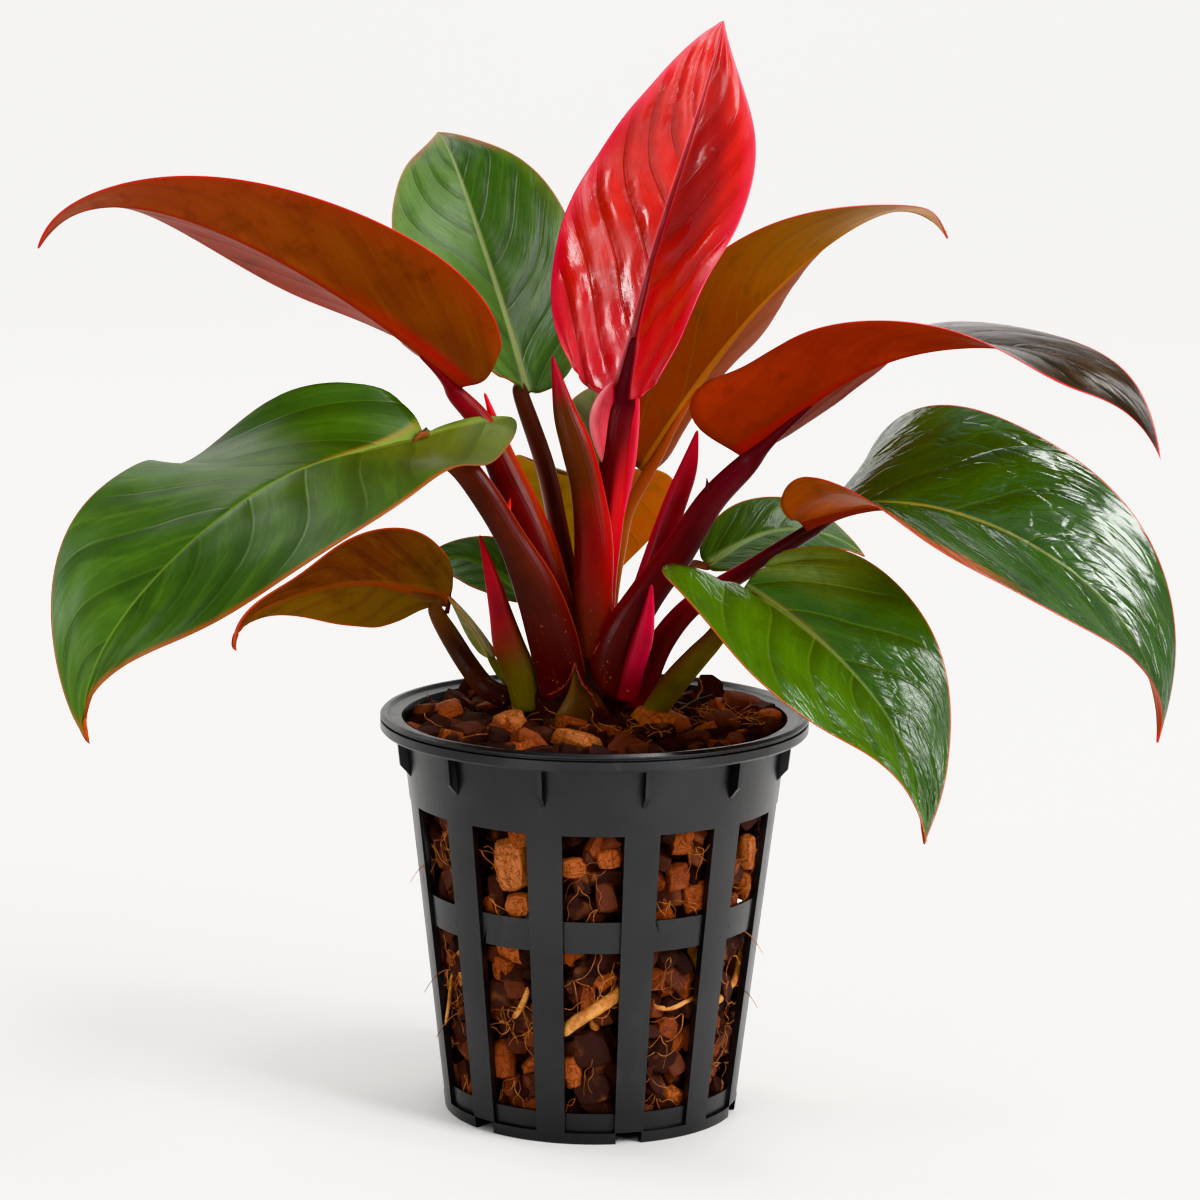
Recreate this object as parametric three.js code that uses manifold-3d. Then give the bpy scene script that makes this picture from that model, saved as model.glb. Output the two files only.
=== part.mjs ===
// A potted philodendron with red new growth: a net pot, its bark mix, and the crown, stalks, blades and
// sheaths of the plant. Millimetres, +Z up. The origin is the centre of the pot's foot, and the plant's
// front faces -Y.

import * as THREE from 'three';
import { mergeVertices } from 'three/addons/utils/BufferGeometryUtils.js';
import Module from 'manifold-3d';

const wasm = await Module();
wasm.setup();

// Driving dimensions of the pot
const GAP = 0.3;
const POT_SIDES = 48;
const WALL_FOOT_RADIUS = 44.7;
const WALL_TAPER = 0.118;
const WALL_THICKNESS = 2.2;
const RECESS_DEPTH = 1.0;
const RIM_RADIUS = 65;
const RIM_TOP = 122.8;
const RIM_BAND = 5.5;
const RIM_WIDTH = 6.5;
const FLOOR_BOTTOM = 3;
const FLOOR_TOP = 4.6;
const HUB_RADIUS = 9;
const WINDOW_COUNT = 12;
const WINDOW_HALF_ANGLE = 9.4;
const WINDOW_ROWS = [[9.5, 60], [69.8, 96.4]];
const LUG = { thick: 2, proud: 3.6, bottom: 103.5, shoulder: 108.5 };
const NOTCH = { height: 3.5, halfAngle: 5, count: 6 };
const FLOOR_SLOT = { count: 6, inner: 14, outer: 34, halfAngle: 9 };

// Driving dimensions of the bark mix
const BARK_TOP = 113;
const BARK_HEAP = 127;
const BARK_SHRINK = 3;
const BARK_SIDES = 16;
const CHIP_CORNERS = { least: 0.65, spread: 0.45 };
const TOP_CHIPS = 26;
const CHIPS_IN_TALL_WINDOW = 2;
const CHIPS_IN_SHORT_WINDOW = 1;
const SEED = 7;

// The crown: radius and height pairs of its knobbly outline, its centre and its width over depth
const CROWN = {
  x: -5, y: 0, wide: 1.1, deep: 0.85, sides: 12,
  outline: [[0, 94], [9, 95], [13, 103], [15.5, 112], [16.5, 120], [14.5, 124], [15, 129], [12, 135], [9.5, 139],
    [5, 143], [0, 144]],
};

// Shared sizes of the blades, and which of them are small
const BLADE_THICKNESS = 0.9;
const RIB_THICKNESS = 1.3;
const LOBE_REACH = 0.3;
const RIB_COLUMN = 0.07;
const LAST_STATION = 0.965;
const FINE_COLUMNS = [-1, -0.7, -0.36, -RIB_COLUMN, 0, RIB_COLUMN, 0.36, 0.7, 1];
const PLAIN_COLUMNS = [-1, -0.5, 0, 0.5, 1];
const FINE_ROWS = 12;
const PLAIN_ROWS = 7;
const SMALL_BLADES = ['back_right_small', 'back_left_small', 'yellowing', 'olive_behind', 'foot_small'];

// The number of stations and sides of the solids of the stalks and the thick roots
const STALK_STEPS = 7;
const STALK_SIDES = 8;
const ROOT_STEPS = 5;
const ROOT_SIDES = 6;

// The blades. spine: control points of the midrib from base to tip. face: where the upper side looks, at
// the base, middle and tip. left and right: control values of the half widths. lobes: how far the two
// basal lobes reach back. inner: how far their inner edges swell toward the sinus. round: the share of the
// length in which each basal corner is rounded. fold: degrees that each half rises at the rib. curlL and
// curlR: degrees more that it has turned at the margin. wave: height, count and phase of the waves along
// the margins.
const BLADES = {
  crimson_top: {
    spine: [[8, 6, 217], [12, 10, 256], [23, 13, 281], [30, 1, 305], [36, 13, 330]],
    face: [[-0.49, -0.77, 0.39], [-0.44, -0.37, 0.44], [0.53, -0.93, 0.12]],
    left: [12, 45, 31, 18, 23], right: [16, 42, 38, 30, 11], lobes: [-2, -1], inner: [-7, -2],
    round: [0.07, 0.15], fold: [20, 26, 7], curlL: [-7, -9], curlR: [19, -12], wave: [0.8, 3, 0.1],
  },
  back: {
    spine: [[-22, 27, 217], [-27, 46, 236], [-43, 48, 277], [-45, 65, 286], [-52, 86, 292]],
    face: [[0.71, -0.43, 0.48], [0.05, -0.71, 0.69], [-0.24, -0.55, 0.79]],
    left: [19, 35, 40, 26, 12], right: [16, 32, 42, 26, 8], lobes: [3, -2], inner: [-1, 0],
    round: [0.08, 0.12], fold: [7, 8, 15], curlL: [-6, 1], curlR: [-10, 1], wave: [1, 2.5, 0.4],
  },
  upper_left: {
    spine: [[-42, 8, 221], [-58, -14, 240], [-104, -27, 273], [-148, -26, 292], [-166, -10, 262]],
    face: [[0.51, 0.19, 0.92], [-0.04, 0.59, 0.58], [-0.57, 0.32, 0.89]],
    left: [20, 42, 39, 7, 8], right: [29, 38, 48, 27, 5], lobes: [-10, 11], inner: [-5, -22],
    round: [0.02, 0.11], fold: [30, 25, 18], curlL: [9, -16], curlR: [-39, -1], wave: [0.6, 2, 0],
  },
  left: {
    spine: [[-51, -14, 208], [-96, -58, 202], [-79, -74, 214], [-156, -88, 165], [-142, -87, 129]],
    face: [[-0.4, -0.89, 0.17], [-0.65, 0.08, 0.95], [0.32, -0.92, -0.29]],
    left: [-3, 73, 51, 50, -6], right: [13, 79, 58, 52, 11], lobes: [48, -7], inner: [2, -10],
    round: [0.04, 0.11], fold: [12, -24, 33], curlL: [4, -6], curlR: [-14, 7], wave: [1.5, 2, 0.3],
  },
  low_left: {
    spine: [[-45, 9, 154], [-72, 6, 164], [-66, 8, 162], [-113, 2, 158], [-109, -1, 140]],
    face: [[-0.02, 0.92, 0.31], [-0.25, 0.77, 0.53], [-0.69, 0.67, 0.32]],
    left: [8, 30, 20, 1, 5], right: [6, 25, 23, 14, -3], lobes: [1, -3], inner: [-1, 1],
    round: [0.06, 0.12], fold: [19, -4, -1], curlL: [3, -25], curlR: [0, -9], wave: [0.8, 2.5, 0.2],
  },
  upper_right: {
    spine: [[14, 24, 193], [47, 18, 256], [67, 28, 259], [93, 54, 288], [109, 64, 262]],
    face: [[-0.69, 0.65, 0.29], [0.04, 0.48, 0.82], [0.31, 0.23, 1.09]],
    left: [19, 35, 41, 20, -1], right: [22, 26, 37, 23, 11], lobes: [-10, -2], inner: [-7, -1],
    round: [0.1, 0.09], fold: [28, 3, -2], curlL: [22, -18], curlR: [-3, -22], wave: [0.6, 2, 0.5],
  },
  right_long: {
    spine: [[44, -2, 202], [89, -34, 248], [79, -36, 229], [145, -16, 259], [165, -28, 205]],
    face: [[-0.02, 0.33, 0.88], [0.08, 0.16, 1.19], [-0.13, -0.51, 0.04]],
    left: [37, 36, 43, 29, 11], right: [23, 11, 44, 25, 3], lobes: [-13, -14], inner: [-5, -19],
    round: [0.13, 0.02], fold: [30, 26, -13], curlL: [-14, -20], curlR: [19, -39], wave: [0.6, 2, 0],
  },
  right: {
    spine: [[63, -2, 181], [90, -14, 201], [124, -20, 185], [170, -27, 166], [167, -30, 121]],
    face: [[-0.06, 0.19, 0.93], [0.09, -1.22, 0.73], [0.96, -0.16, -0.04]],
    left: [29, 54, 32, 29, 28], right: [17, 55, 42, 31, 23], lobes: [-9, 4], inner: [-5, -6],
    round: [0.02, 0.13], fold: [25, 17, 17], curlL: [-9, -6], curlR: [16, 2], wave: [0.8, 2.5, 0.7],
  },
  front_right: {
    spine: [[43, -33, 167], [60, -48, 161], [90, -66, 140], [95, -90, 120], [93, -97, 105]],
    face: [[0.02, -0.36, 0.86], [0.18, -0.79, 0.65], [0.69, -0.7, 0.23]],
    left: [15, 45, 32, 17, 3], right: [17, 37, 41, 22, 1], lobes: [1, 28], inner: [0, 2],
    round: [0.02, 0.07], fold: [19, 2, 15], curlL: [-1, -5], curlR: [4, -8], wave: [0.8, 2.5, 0.1],
  },
  back_right_small: {
    spine: [[35, 31, 163], [48, 34, 173], [58, 38, 177], [74, 42, 173], [84, 44, 164]],
    face: [[-0.2, -0.6, 0.75], [0, -0.65, 0.75], [0.2, -0.7, 0.6]],
    left: [5, 16, 18, 10, 4], right: [4, 16, 16, 9, 4], lobes: [4, 4], inner: [1, 1],
    round: [0.1, 0.1], fold: [12, 8, 5], curlL: [2, -8], curlR: [2, -8], wave: [0.5, 2, 0],
  },
  back_left_small: {
    spine: [[-22, 46, 150], [-32, 50, 158], [-40, 54, 163], [-50, 58, 162], [-58, 62, 154]],
    face: [[0.2, -0.6, 0.75], [0, -0.65, 0.75], [-0.2, -0.7, 0.6]],
    left: [4, 13, 14, 8, 3], right: [4, 13, 14, 8, 3], lobes: [4, 4], inner: [1, 1],
    round: [0.1, 0.1], fold: [10, 8, 5], curlL: [2, -8], curlR: [2, -8], wave: [0.5, 2, 0.3],
  },
  yellowing: {
    spine: [[0, 38, 188], [0, 46, 189], [-1, 51, 177], [-1, 52, 162], [-2, 50, 146]],
    face: [[0, 0.4, 0.9], [0, 1, 0.2], [0, 1, 0]],
    left: [20, 34, 30, 12, 3], right: [12, 26, 34, 24, 6], lobes: [8, -6], inner: [0, 0],
    round: [0.1, 0.1], fold: [12, 8, 5], curlL: [8, 0], curlR: [8, 0], wave: [0.6, 2, 0.2],
  },
  olive_behind: {
    spine: [[2, 24, 188], [1, 34, 203], [1, 46, 213], [5, 58, 216], [10, 70, 212]],
    face: [[0.1, -0.9, 0.4], [0, -0.75, 0.65], [0.1, -0.4, 0.9]],
    left: [5, 15, 16, 9, 3], right: [5, 15, 16, 9, 3], lobes: [2, 2], inner: [0, 0],
    round: [0.1, 0.1], fold: [15, 10, 5], curlL: [0, -8], curlR: [0, -8], wave: [0.6, 2, 0.6],
  },
  foot_small: {
    spine: [[-32, 2, 138], [-35, 0, 144], [-38, -1, 149], [-42, 0, 154], [-45, 1, 157]],
    face: [[-0.55, -0.3, -0.75], [-0.55, -0.4, -0.7], [-0.6, -0.3, -0.7]],
    left: [2.5, 5, 5, 4, 2], right: [2.5, 6, 6, 4, 2], lobes: [0, 0], inner: [0, 0],
    round: [0.1, 0.1], fold: [15, 15, 10], curlL: [10, 5], curlR: [10, 5], wave: [0, 1, 0],
  },
};

// The petioles. rows: stations from the crown to the blade, each a point of the centre line with the width
// and thickness there. broad: the direction of the width.
const PETIOLES = {
  left: { broad: [1, 0, 0.5], rows: [[-8.5, -8, 126, 14, 7], [-12.5, -10, 145, 15, 7], [-18, -12, 162, 13, 7],
    [-25.5, -13, 177, 9, 6.5], [-34, -14, 191, 8.5, 6], [-41.5, -14, 200, 8, 5.5], [-49, -14, 205.5, 7, 5]] },
  right_long: { broad: [1, 0, -0.6], rows: [[3, -7, 127, 14, 7], [7, -8, 145, 13, 7], [14.5, -8, 159, 11, 7],
    [24.5, -7, 173, 10, 6.5], [34, -5, 188, 8.5, 6], [43.4, -2.4, 200.6, 7.5, 5]] },
  front_right: { broad: [1, 0.3, -0.6], rows: [[9, -8, 114, 7, 6], [16.5, -12, 123.5, 7.5, 6],
    [23.5, -18, 135, 8.2, 6], [30, -24, 144, 7.5, 5.5], [36, -29, 152, 6, 5], [42.4, -32, 165, 4.5, 4]] },
  right: { broad: [1, 0, -0.8], rows: [[10.5, -2, 123, 11, 6], [15, -1, 133, 8.6, 6], [20.5, 0, 145, 7.8, 6],
    [30, 1, 156, 6.6, 5.5], [46.5, 1, 167, 5.4, 5], [62.6, -1.8, 180.6, 5, 4.5]] },
  upper_left: { broad: [1, 0.2, 0.4], rows: [[-6, -1, 138, 9, 6], [-11, -1, 155, 9.5, 6], [-17.5, 0, 173, 9.5, 6],
    [-27, 3, 193, 10, 6], [-35, 6, 209, 7.5, 5], [-41.4, 7.4, 219.4, 6, 4.5]] },
  low_left: { broad: [0.8, 0, 0.6], rows: [[-25, 1, 125, 7, 5.5], [-33, 3, 129, 6.8, 5.5],
    [-38.5, 6, 135, 6.6, 5], [-44.5, 8, 144, 6.2, 4.5], [-48.6, 8.8, 152.2, 5, 4]] },
  crimson_top: { broad: [1, 0, 0], rows: [[1, 4, 138, 9, 6], [1.5, 5, 159, 9, 6], [3, 6, 177, 9.5, 6],
    [5, 6.5, 196, 9.6, 5.5], [7, 6.5, 212, 9, 5], [8, 6, 216.8, 8.5, 4.5]] },
  upper_right: { broad: [1, 0, -0.2], rows: [[3, 8, 139, 5, 5], [5, 12, 156, 3.8, 4], [7, 15.5, 169, 3.8, 3.8],
    [9.5, 19, 181, 3.8, 3.8], [13.6, 23.6, 192.4, 4.2, 4]] },
  back: { broad: [1, 0, 0.2], rows: [[-4.5, 7, 138, 6, 5.5], [-8, 13, 158, 6, 5], [-12, 18, 177, 6, 5],
    [-16, 23, 194, 6, 5], [-21.8, 26.6, 215.8, 5.4, 4.4]] },
  back_right_small: { broad: [1, 0, -0.6], rows: [[7, 9, 129, 5, 4], [14, 16, 146, 4, 3.6],
    [21, 23, 157, 3.4, 3], [29, 29, 163, 3, 2.6], [33.8, 30.8, 163, 2.6, 2.4]] },
  back_left_small: { broad: [1, 0.3, 0], rows: [[-10, 9, 129, 5, 4], [-15, 24, 139, 4, 3.6],
    [-19, 38, 146, 3.2, 3], [-21.4, 45, 149, 2.6, 2.4]] },
  yellowing: { broad: [1, 0, 0], rows: [[0, 10, 131, 6, 5], [1, 20, 154, 5, 4.5], [1, 29, 172, 4, 4],
    [0, 36.6, 186.8, 3.6, 3.4]] },
  olive_behind: { broad: [1, 0, 0], rows: [[-4, 4, 139, 5, 5], [-4, 13, 160, 4.6, 4.5], [-1, 19, 176, 4.4, 4],
    [1.8, 23.6, 187, 4, 3.6]] },
  foot_small: { broad: [0.7, 0, 0.7], rows: [[-20, 3, 127, 4, 3.4], [-25, 3, 130, 3.4, 3], [-29, 3, 134, 3, 2.6],
    [-32.4, 2, 137.8, 2.4, 2]] },
};

// The sheaths: as the petioles, but they end in a point
const SHEATHS = {
  great: { broad: [1, 0, 0], rows: [[-2, -3, 129, 10, 6], [-1, -4, 145, 11, 7], [-1, -5, 161, 12, 7.5],
    [-1, -5, 176, 11.6, 7], [-3, -4, 191, 10, 6], [-6.5, -3, 204, 9.4, 5.5], [-10, -2, 214, 7, 4],
    [-14, 0, 231, 0.8, 0.8]] },
  crimson_tall: { broad: [1, 0, -0.3], rows: [[5, 5, 130, 7, 4], [12, 5, 151, 7.5, 4], [18.5, 5.5, 171, 7.5, 4],
    [24, 6, 187, 7, 4], [27.5, 6.5, 197, 5.4, 3.4], [30, 7, 208, 0.8, 0.8]] },
  crimson_short: { broad: [1, 0, -0.2], rows: [[9.5, -12, 128, 6.2, 4], [11.5, -13, 138, 6.4, 4],
    [14, -13, 147, 6.4, 4], [15.5, -13, 155, 4.2, 3], [16.5, -13, 164, 0.8, 0.8]] },
  left_foot: { broad: [1, 0, 0.3], rows: [[-20.5, -5, 123, 8, 5.5], [-22.5, -7, 135, 9.5, 6],
    [-26, -8, 144, 9.6, 5.5], [-28.5, -9, 154, 7, 5], [-31, -10, 164, 4.6, 3.4], [-35, -10, 178, 0.8, 0.8]] },
  narrow_left: { broad: [1, 0.2, 0.4], rows: [[-8, 3, 151, 5, 3], [-14, 4.6, 171, 5.4, 3],
    [-19.5, 6, 183, 5.6, 3], [-25.5, 8, 195, 5.2, 3], [-30.5, 10, 207, 3.4, 2.4], [-34.5, 12, 218, 0.8, 0.8]] },
  torn_foot: { broad: [1, 0, 0], rows: [[-3, -14.5, 117, 16, 3.4], [-3.5, -16, 123.5, 17, 3.2],
    [-4, -16, 128.5, 12, 3], [-5, -15, 133.5, 5, 2.4], [-6, -13.5, 139.5, 0.8, 0.8]] },
};

// The thick roots: paths from under the crown to the pot wall
const ROOT_WIDTHS = [5, 4.4, 3.4, 2.4];
const ROOT_KNOT = { radius: 8, x: -3, z: 86 };
const ROOTS = [
  [[-3, -5, 92], [-2, -22, 78], [-3, -38, 55], [3, -43, 28]],
  [[2, -4, 92], [18, -20, 74], [32, -31, 52], [34, -28, 34]],
  [[-8, -3, 92], [-24, -16, 80], [-38, -24, 60], [-38, -20, 36]],
  [[0, 4, 92], [10, 24, 78], [24, 36, 58], [25, 36, 32]],
  [[-8, 4, 92], [-22, 22, 76], [-29, 35, 54], [-25, 35, 30]],
];

const FINISH = {
  pot: { color: 0x34363a, roughness: 0.45 },
  bark: { color: 0x6b3a22, roughness: 0.95 },
  root: { color: 0xb98a58, roughness: 0.85 },
  crown: { color: 0x4a2a1c, roughness: 0.7 },
  crimson: { color: 0xc0141a, roughness: 0.25 },
  green: { color: 0x3c6a1c, roughness: 0.3 },
  deep_green: { color: 0x28501a, roughness: 0.3 },
  red_brown: { color: 0x8a3a1a, roughness: 0.4 },
  olive: { color: 0x7a5a18, roughness: 0.4 },
  yellow: { color: 0xb8901c, roughness: 0.5 },
  maroon: { color: 0x3a0c10, roughness: 0.35 },
  brown_stalk: { color: 0x4e2c1e, roughness: 0.45 },
};

const BLADE_FINISH = {
  crimson_top: 'crimson', back: 'deep_green', upper_left: 'red_brown', left: 'green', low_left: 'red_brown',
  upper_right: 'olive', right_long: 'red_brown', right: 'deep_green', front_right: 'green',
  back_right_small: 'green', back_left_small: 'green', yellowing: 'yellow', olive_behind: 'olive',
  foot_small: 'green',
};

const PETIOLE_FINISH = {
  left: 'brown_stalk', low_left: 'brown_stalk', front_right: 'brown_stalk', back: 'brown_stalk',
  yellowing: 'olive', olive_behind: 'olive', foot_small: 'olive', upper_right: 'red_brown',
};

const SHEATH_FINISH = { great: 'maroon', torn_foot: 'crown' };

const group = new THREE.Group();

function seededRandom(seed) {
  let state = seed;
  return () => {
    state = (state * 1664525 + 1013904223) % 4294967296;
    return state / 4294967296;
  };
}

// Solids

function solidFromArrays(vertices, triangles) {
  let volume = 0;
  for (const [a, b, c] of triangles) volume += vertices[a].dot(vertices[b].clone().cross(vertices[c]));
  const outward = volume < 0 ? triangles.map(([a, b, c]) => [a, c, b]) : triangles;
  return new wasm.Manifold(new wasm.Mesh({
    numProp: 3,
    vertProperties: new Float32Array(vertices.flatMap((v) => [v.x, v.y, v.z])),
    triVerts: new Uint32Array(outward.flat()),
  }));
}

function solidFromGeometry(geometry) {
  const bare = geometry.clone();
  bare.deleteAttribute('normal');
  bare.deleteAttribute('uv');
  const merged = mergeVertices(bare, 1e-4);
  const position = merged.getAttribute('position');
  const vertices = Array.from({ length: position.count }, (_, i) => (
    new THREE.Vector3().fromBufferAttribute(position, i)));
  const triangles = [];
  for (let i = 0; i < merged.index.count; i += 3) {
    const corner = [0, 1, 2].map((k) => merged.index.getX(i + k));
    if (new Set(corner).size === 3) triangles.push(corner);
  }
  return solidFromArrays(vertices, triangles);
}

function union(solids) {
  return wasm.Manifold.union(solids);
}

function largestBody(solid) {
  return solid.decompose().reduce((a, b) => (b.volume() > a.volume() ? b : a));
}

function addMesh(name, solid, finish) {
  const mesh = largestBody(solid).getMesh();
  const geometry = new THREE.BufferGeometry();
  geometry.setAttribute('position', new THREE.Float32BufferAttribute(mesh.vertProperties, 3));
  geometry.setIndex(Array.from(mesh.triVerts));
  geometry.computeVertexNormals();
  const material = new THREE.MeshStandardMaterial({ ...FINISH[finish], metalness: 0, side: THREE.FrontSide });
  const part = new THREE.Mesh(geometry, material);
  part.name = name;
  group.add(part);
}

function turned(profile, sides) {
  const lathe = new THREE.LatheGeometry(profile.map(([r, z]) => new THREE.Vector2(r, z)), sides);
  return lathe.rotateX(Math.PI / 2);
}

// A wedge of the pot's circle between two radii and two heights, centred on an angle from the front
function wedge(degrees, halfAngle, inner, outer, bottom, top) {
  const slope = Math.tan(THREE.MathUtils.degToRad(halfAngle));
  const outline = new THREE.Shape([
    new THREE.Vector2(inner, -inner * slope), new THREE.Vector2(outer, -outer * slope),
    new THREE.Vector2(outer, outer * slope), new THREE.Vector2(inner, inner * slope),
  ]);
  const block = new THREE.ExtrudeGeometry(outline, { depth: top - bottom, bevelEnabled: false });
  block.translate(0, 0, bottom);
  block.rotateZ(THREE.MathUtils.degToRad(degrees - 90));
  return solidFromGeometry(block);
}

function wallRadius(z) {
  return WALL_FOOT_RADIUS + WALL_TAPER * z;
}

// Pot

function potBody() {
  const neck = RIM_TOP - RIM_BAND;
  const inside = RIM_RADIUS - RIM_WIDTH;
  return solidFromGeometry(turned([
    [0, 0], [HUB_RADIUS, 0], [HUB_RADIUS, FLOOR_BOTTOM],
    [wallRadius(0) - WALL_THICKNESS, FLOOR_BOTTOM], [wallRadius(0) - WALL_THICKNESS, 0], [wallRadius(0), 0],
    [wallRadius(neck), neck], [RIM_RADIUS, neck], [RIM_RADIUS, RIM_TOP - 0.8], [RIM_RADIUS - 0.8, RIM_TOP],
    [inside, RIM_TOP - 0.6], [wallRadius(neck) - WALL_THICKNESS, neck],
    [wallRadius(FLOOR_TOP) - WALL_THICKNESS, FLOOR_TOP], [0, FLOOR_TOP], [0, 0],
  ], POT_SIDES));
}

function lug(degrees) {
  const top = RIM_TOP - RIM_BAND + 0.5;
  const root = -1.2;
  const outline = new THREE.Shape([
    new THREE.Vector2(wallRadius(top) + root, top),
    new THREE.Vector2(wallRadius(LUG.bottom) + root, LUG.bottom),
    new THREE.Vector2(wallRadius(LUG.bottom) + 0.2, LUG.bottom),
    new THREE.Vector2(wallRadius(LUG.shoulder) + LUG.proud, LUG.shoulder),
    new THREE.Vector2(wallRadius(top) + LUG.proud, top),
  ]);
  const plate = new THREE.ExtrudeGeometry(outline, { depth: LUG.thick, bevelEnabled: false });
  plate.translate(0, 0, -LUG.thick / 2);
  plate.rotateX(Math.PI / 2);
  plate.rotateZ(THREE.MathUtils.degToRad(degrees - 90));
  return solidFromGeometry(plate);
}

function pot() {
  const step = 360 / WINDOW_COUNT;
  const columns = Array.from({ length: WINDOW_COUNT }, (_, i) => i * step);
  const windows = columns.flatMap((angle) => WINDOW_ROWS.map(([bottom, top]) => (
    wedge(angle, WINDOW_HALF_ANGLE, 30, RIM_RADIUS + 5, bottom, top))));
  const collarFoot = WINDOW_ROWS[1][1];
  const face = solidFromGeometry(turned([
    [0, -1], [wallRadius(-1) - RECESS_DEPTH, -1], [wallRadius(collarFoot + 1) - RECESS_DEPTH, collarFoot + 1],
    [0, collarFoot + 1], [0, -1],
  ], POT_SIDES));
  const recesses = union(columns.map((angle) => (
    wedge(angle, WINDOW_HALF_ANGLE, 30, RIM_RADIUS + 5, NOTCH.height, collarFoot)))).subtract(face);
  const lugs = columns.map((angle) => lug(angle + step / 2));
  const notches = Array.from({ length: NOTCH.count }, (_, i) => (
    wedge(step / 2 + i * 360 / NOTCH.count, NOTCH.halfAngle, 35, RIM_RADIUS, -1, NOTCH.height)));
  const slots = Array.from({ length: FLOOR_SLOT.count }, (_, i) => (
    wedge(i * 360 / FLOOR_SLOT.count, FLOOR_SLOT.halfAngle, FLOOR_SLOT.inner, FLOOR_SLOT.outer,
      FLOOR_BOTTOM - 1, FLOOR_TOP + 1)));
  return union([potBody(), ...lugs]).subtract(union([...windows, recesses, ...notches, ...slots]));
}

// Bark mix

function cavity() {
  const inset = WALL_THICKNESS + GAP;
  const neck = RIM_TOP - RIM_BAND;
  return solidFromGeometry(turned([
    [0, FLOOR_TOP + GAP], [wallRadius(FLOOR_TOP) - inset, FLOOR_TOP + GAP], [wallRadius(neck) - inset, neck],
    [wallRadius(neck) - inset, BARK_HEAP], [0, BARK_HEAP], [0, FLOOR_TOP + GAP],
  ], POT_SIDES / 2));
}

function barkCore() {
  const inset = WALL_THICKNESS + BARK_SHRINK;
  const core = turned([
    [0, FLOOR_TOP + 0.6], [wallRadius(10) - inset - 2, FLOOR_TOP + 0.6], [wallRadius(25) - inset, 25],
    [wallRadius(50) - inset, 50], [wallRadius(75) - inset, 75], [wallRadius(100) - inset, 100],
    [wallRadius(BARK_TOP) - inset - 2, BARK_TOP], [30, BARK_TOP + 1.5], [0, BARK_TOP + 2], [0, FLOOR_TOP + 0.6],
  ], BARK_SIDES);
  return solidFromGeometry(core);
}

// A chip: a box with its corners moved at random, turned and set in place
function chip(random, size, centre, turn) {
  const box = new THREE.BoxGeometry(size.x, size.y, size.z);
  box.deleteAttribute('normal');
  box.deleteAttribute('uv');
  const block = mergeVertices(box);
  const position = block.getAttribute('position');
  for (let i = 0; i < position.count; i += 1) {
    const [x, y, z] = [position.getX(i), position.getY(i), position.getZ(i)]
      .map((side) => side * (CHIP_CORNERS.least + CHIP_CORNERS.spread * random()));
    position.setXYZ(i, x, y, z);
  }
  block.applyMatrix4(new THREE.Matrix4().makeRotationFromEuler(turn));
  block.translate(centre.x, centre.y, centre.z);
  return solidFromGeometry(block);
}

function topChips(random) {
  const golden = Math.PI * (3 - Math.sqrt(5));
  return Array.from({ length: TOP_CHIPS }, (_, i) => {
    const radius = 49 * Math.sqrt((i + 0.7) / TOP_CHIPS);
    const angle = i * golden;
    const size = new THREE.Vector3(10 + 7 * random(), 7 + 5 * random(), 6 + 4 * random());
    const height = BARK_TOP + 2.5 + 4 * random() - 0.03 * radius;
    const centre = new THREE.Vector3(radius * Math.cos(angle), radius * Math.sin(angle), height);
    const turn = new THREE.Euler(0.7 * (random() - 0.5), 0.7 * (random() - 0.5), 2 * Math.PI * random());
    return chip(random, size, centre, turn);
  });
}

function windowChips(random) {
  const step = 360 / WINDOW_COUNT;
  const chips = [];
  for (let column = 0; column < WINDOW_COUNT; column += 1) {
    WINDOW_ROWS.forEach(([bottom, top], row) => {
      const count = row === 0 ? CHIPS_IN_TALL_WINDOW : CHIPS_IN_SHORT_WINDOW;
      for (let i = 0; i < count; i += 1) {
        const z = bottom + (top - bottom) * (i + 0.5) / count;
        const angle = THREE.MathUtils.degToRad(column * step - 90 + 5 * (random() - 0.5));
        const radius = wallRadius(z) - WALL_THICKNESS - 3.5;
        const size = new THREE.Vector3(7 + 3 * random(), 10 + 5 * random(), (top - bottom) / count * 0.95);
        const centre = new THREE.Vector3(radius * Math.cos(angle), radius * Math.sin(angle), z);
        const turn = new THREE.Euler(0.5 * (random() - 0.5), 0.3 * (random() - 0.5), angle);
        chips.push(chip(random, size, centre, turn));
      }
    });
  }
  return chips;
}

function barkMix() {
  const random = seededRandom(SEED);
  const parts = [barkCore(), ...topChips(random), ...windowChips(random)];
  return union(parts).intersect(cavity());
}

// Crown

function crown(clearance) {
  const grow = 1.2 * clearance;
  const foot = CROWN.outline[0][1];
  const half = (CROWN.outline.at(-1)[1] - foot) / 2;
  const rows = CROWN.outline.map(([r, z]) => (
    [r === 0 ? 0 : r + grow, z + grow * (z - foot - half) / half]));
  const body = turned([...rows, rows[0]], CROWN.sides);
  body.scale(CROWN.wide, CROWN.deep, 1);
  body.translate(CROWN.x, CROWN.y, 0);
  return solidFromGeometry(body);
}

// Curves

function alongNumbers(values, t) {
  let row = values;
  while (row.length > 1) row = row.slice(1).map((value, i) => row[i] + (value - row[i]) * t);
  return row[0];
}

function alongPoints(points, t) {
  return new THREE.Vector3(...[0, 1, 2].map((axis) => alongNumbers(points.map((p) => p[axis]), t)));
}

// Blades

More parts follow.
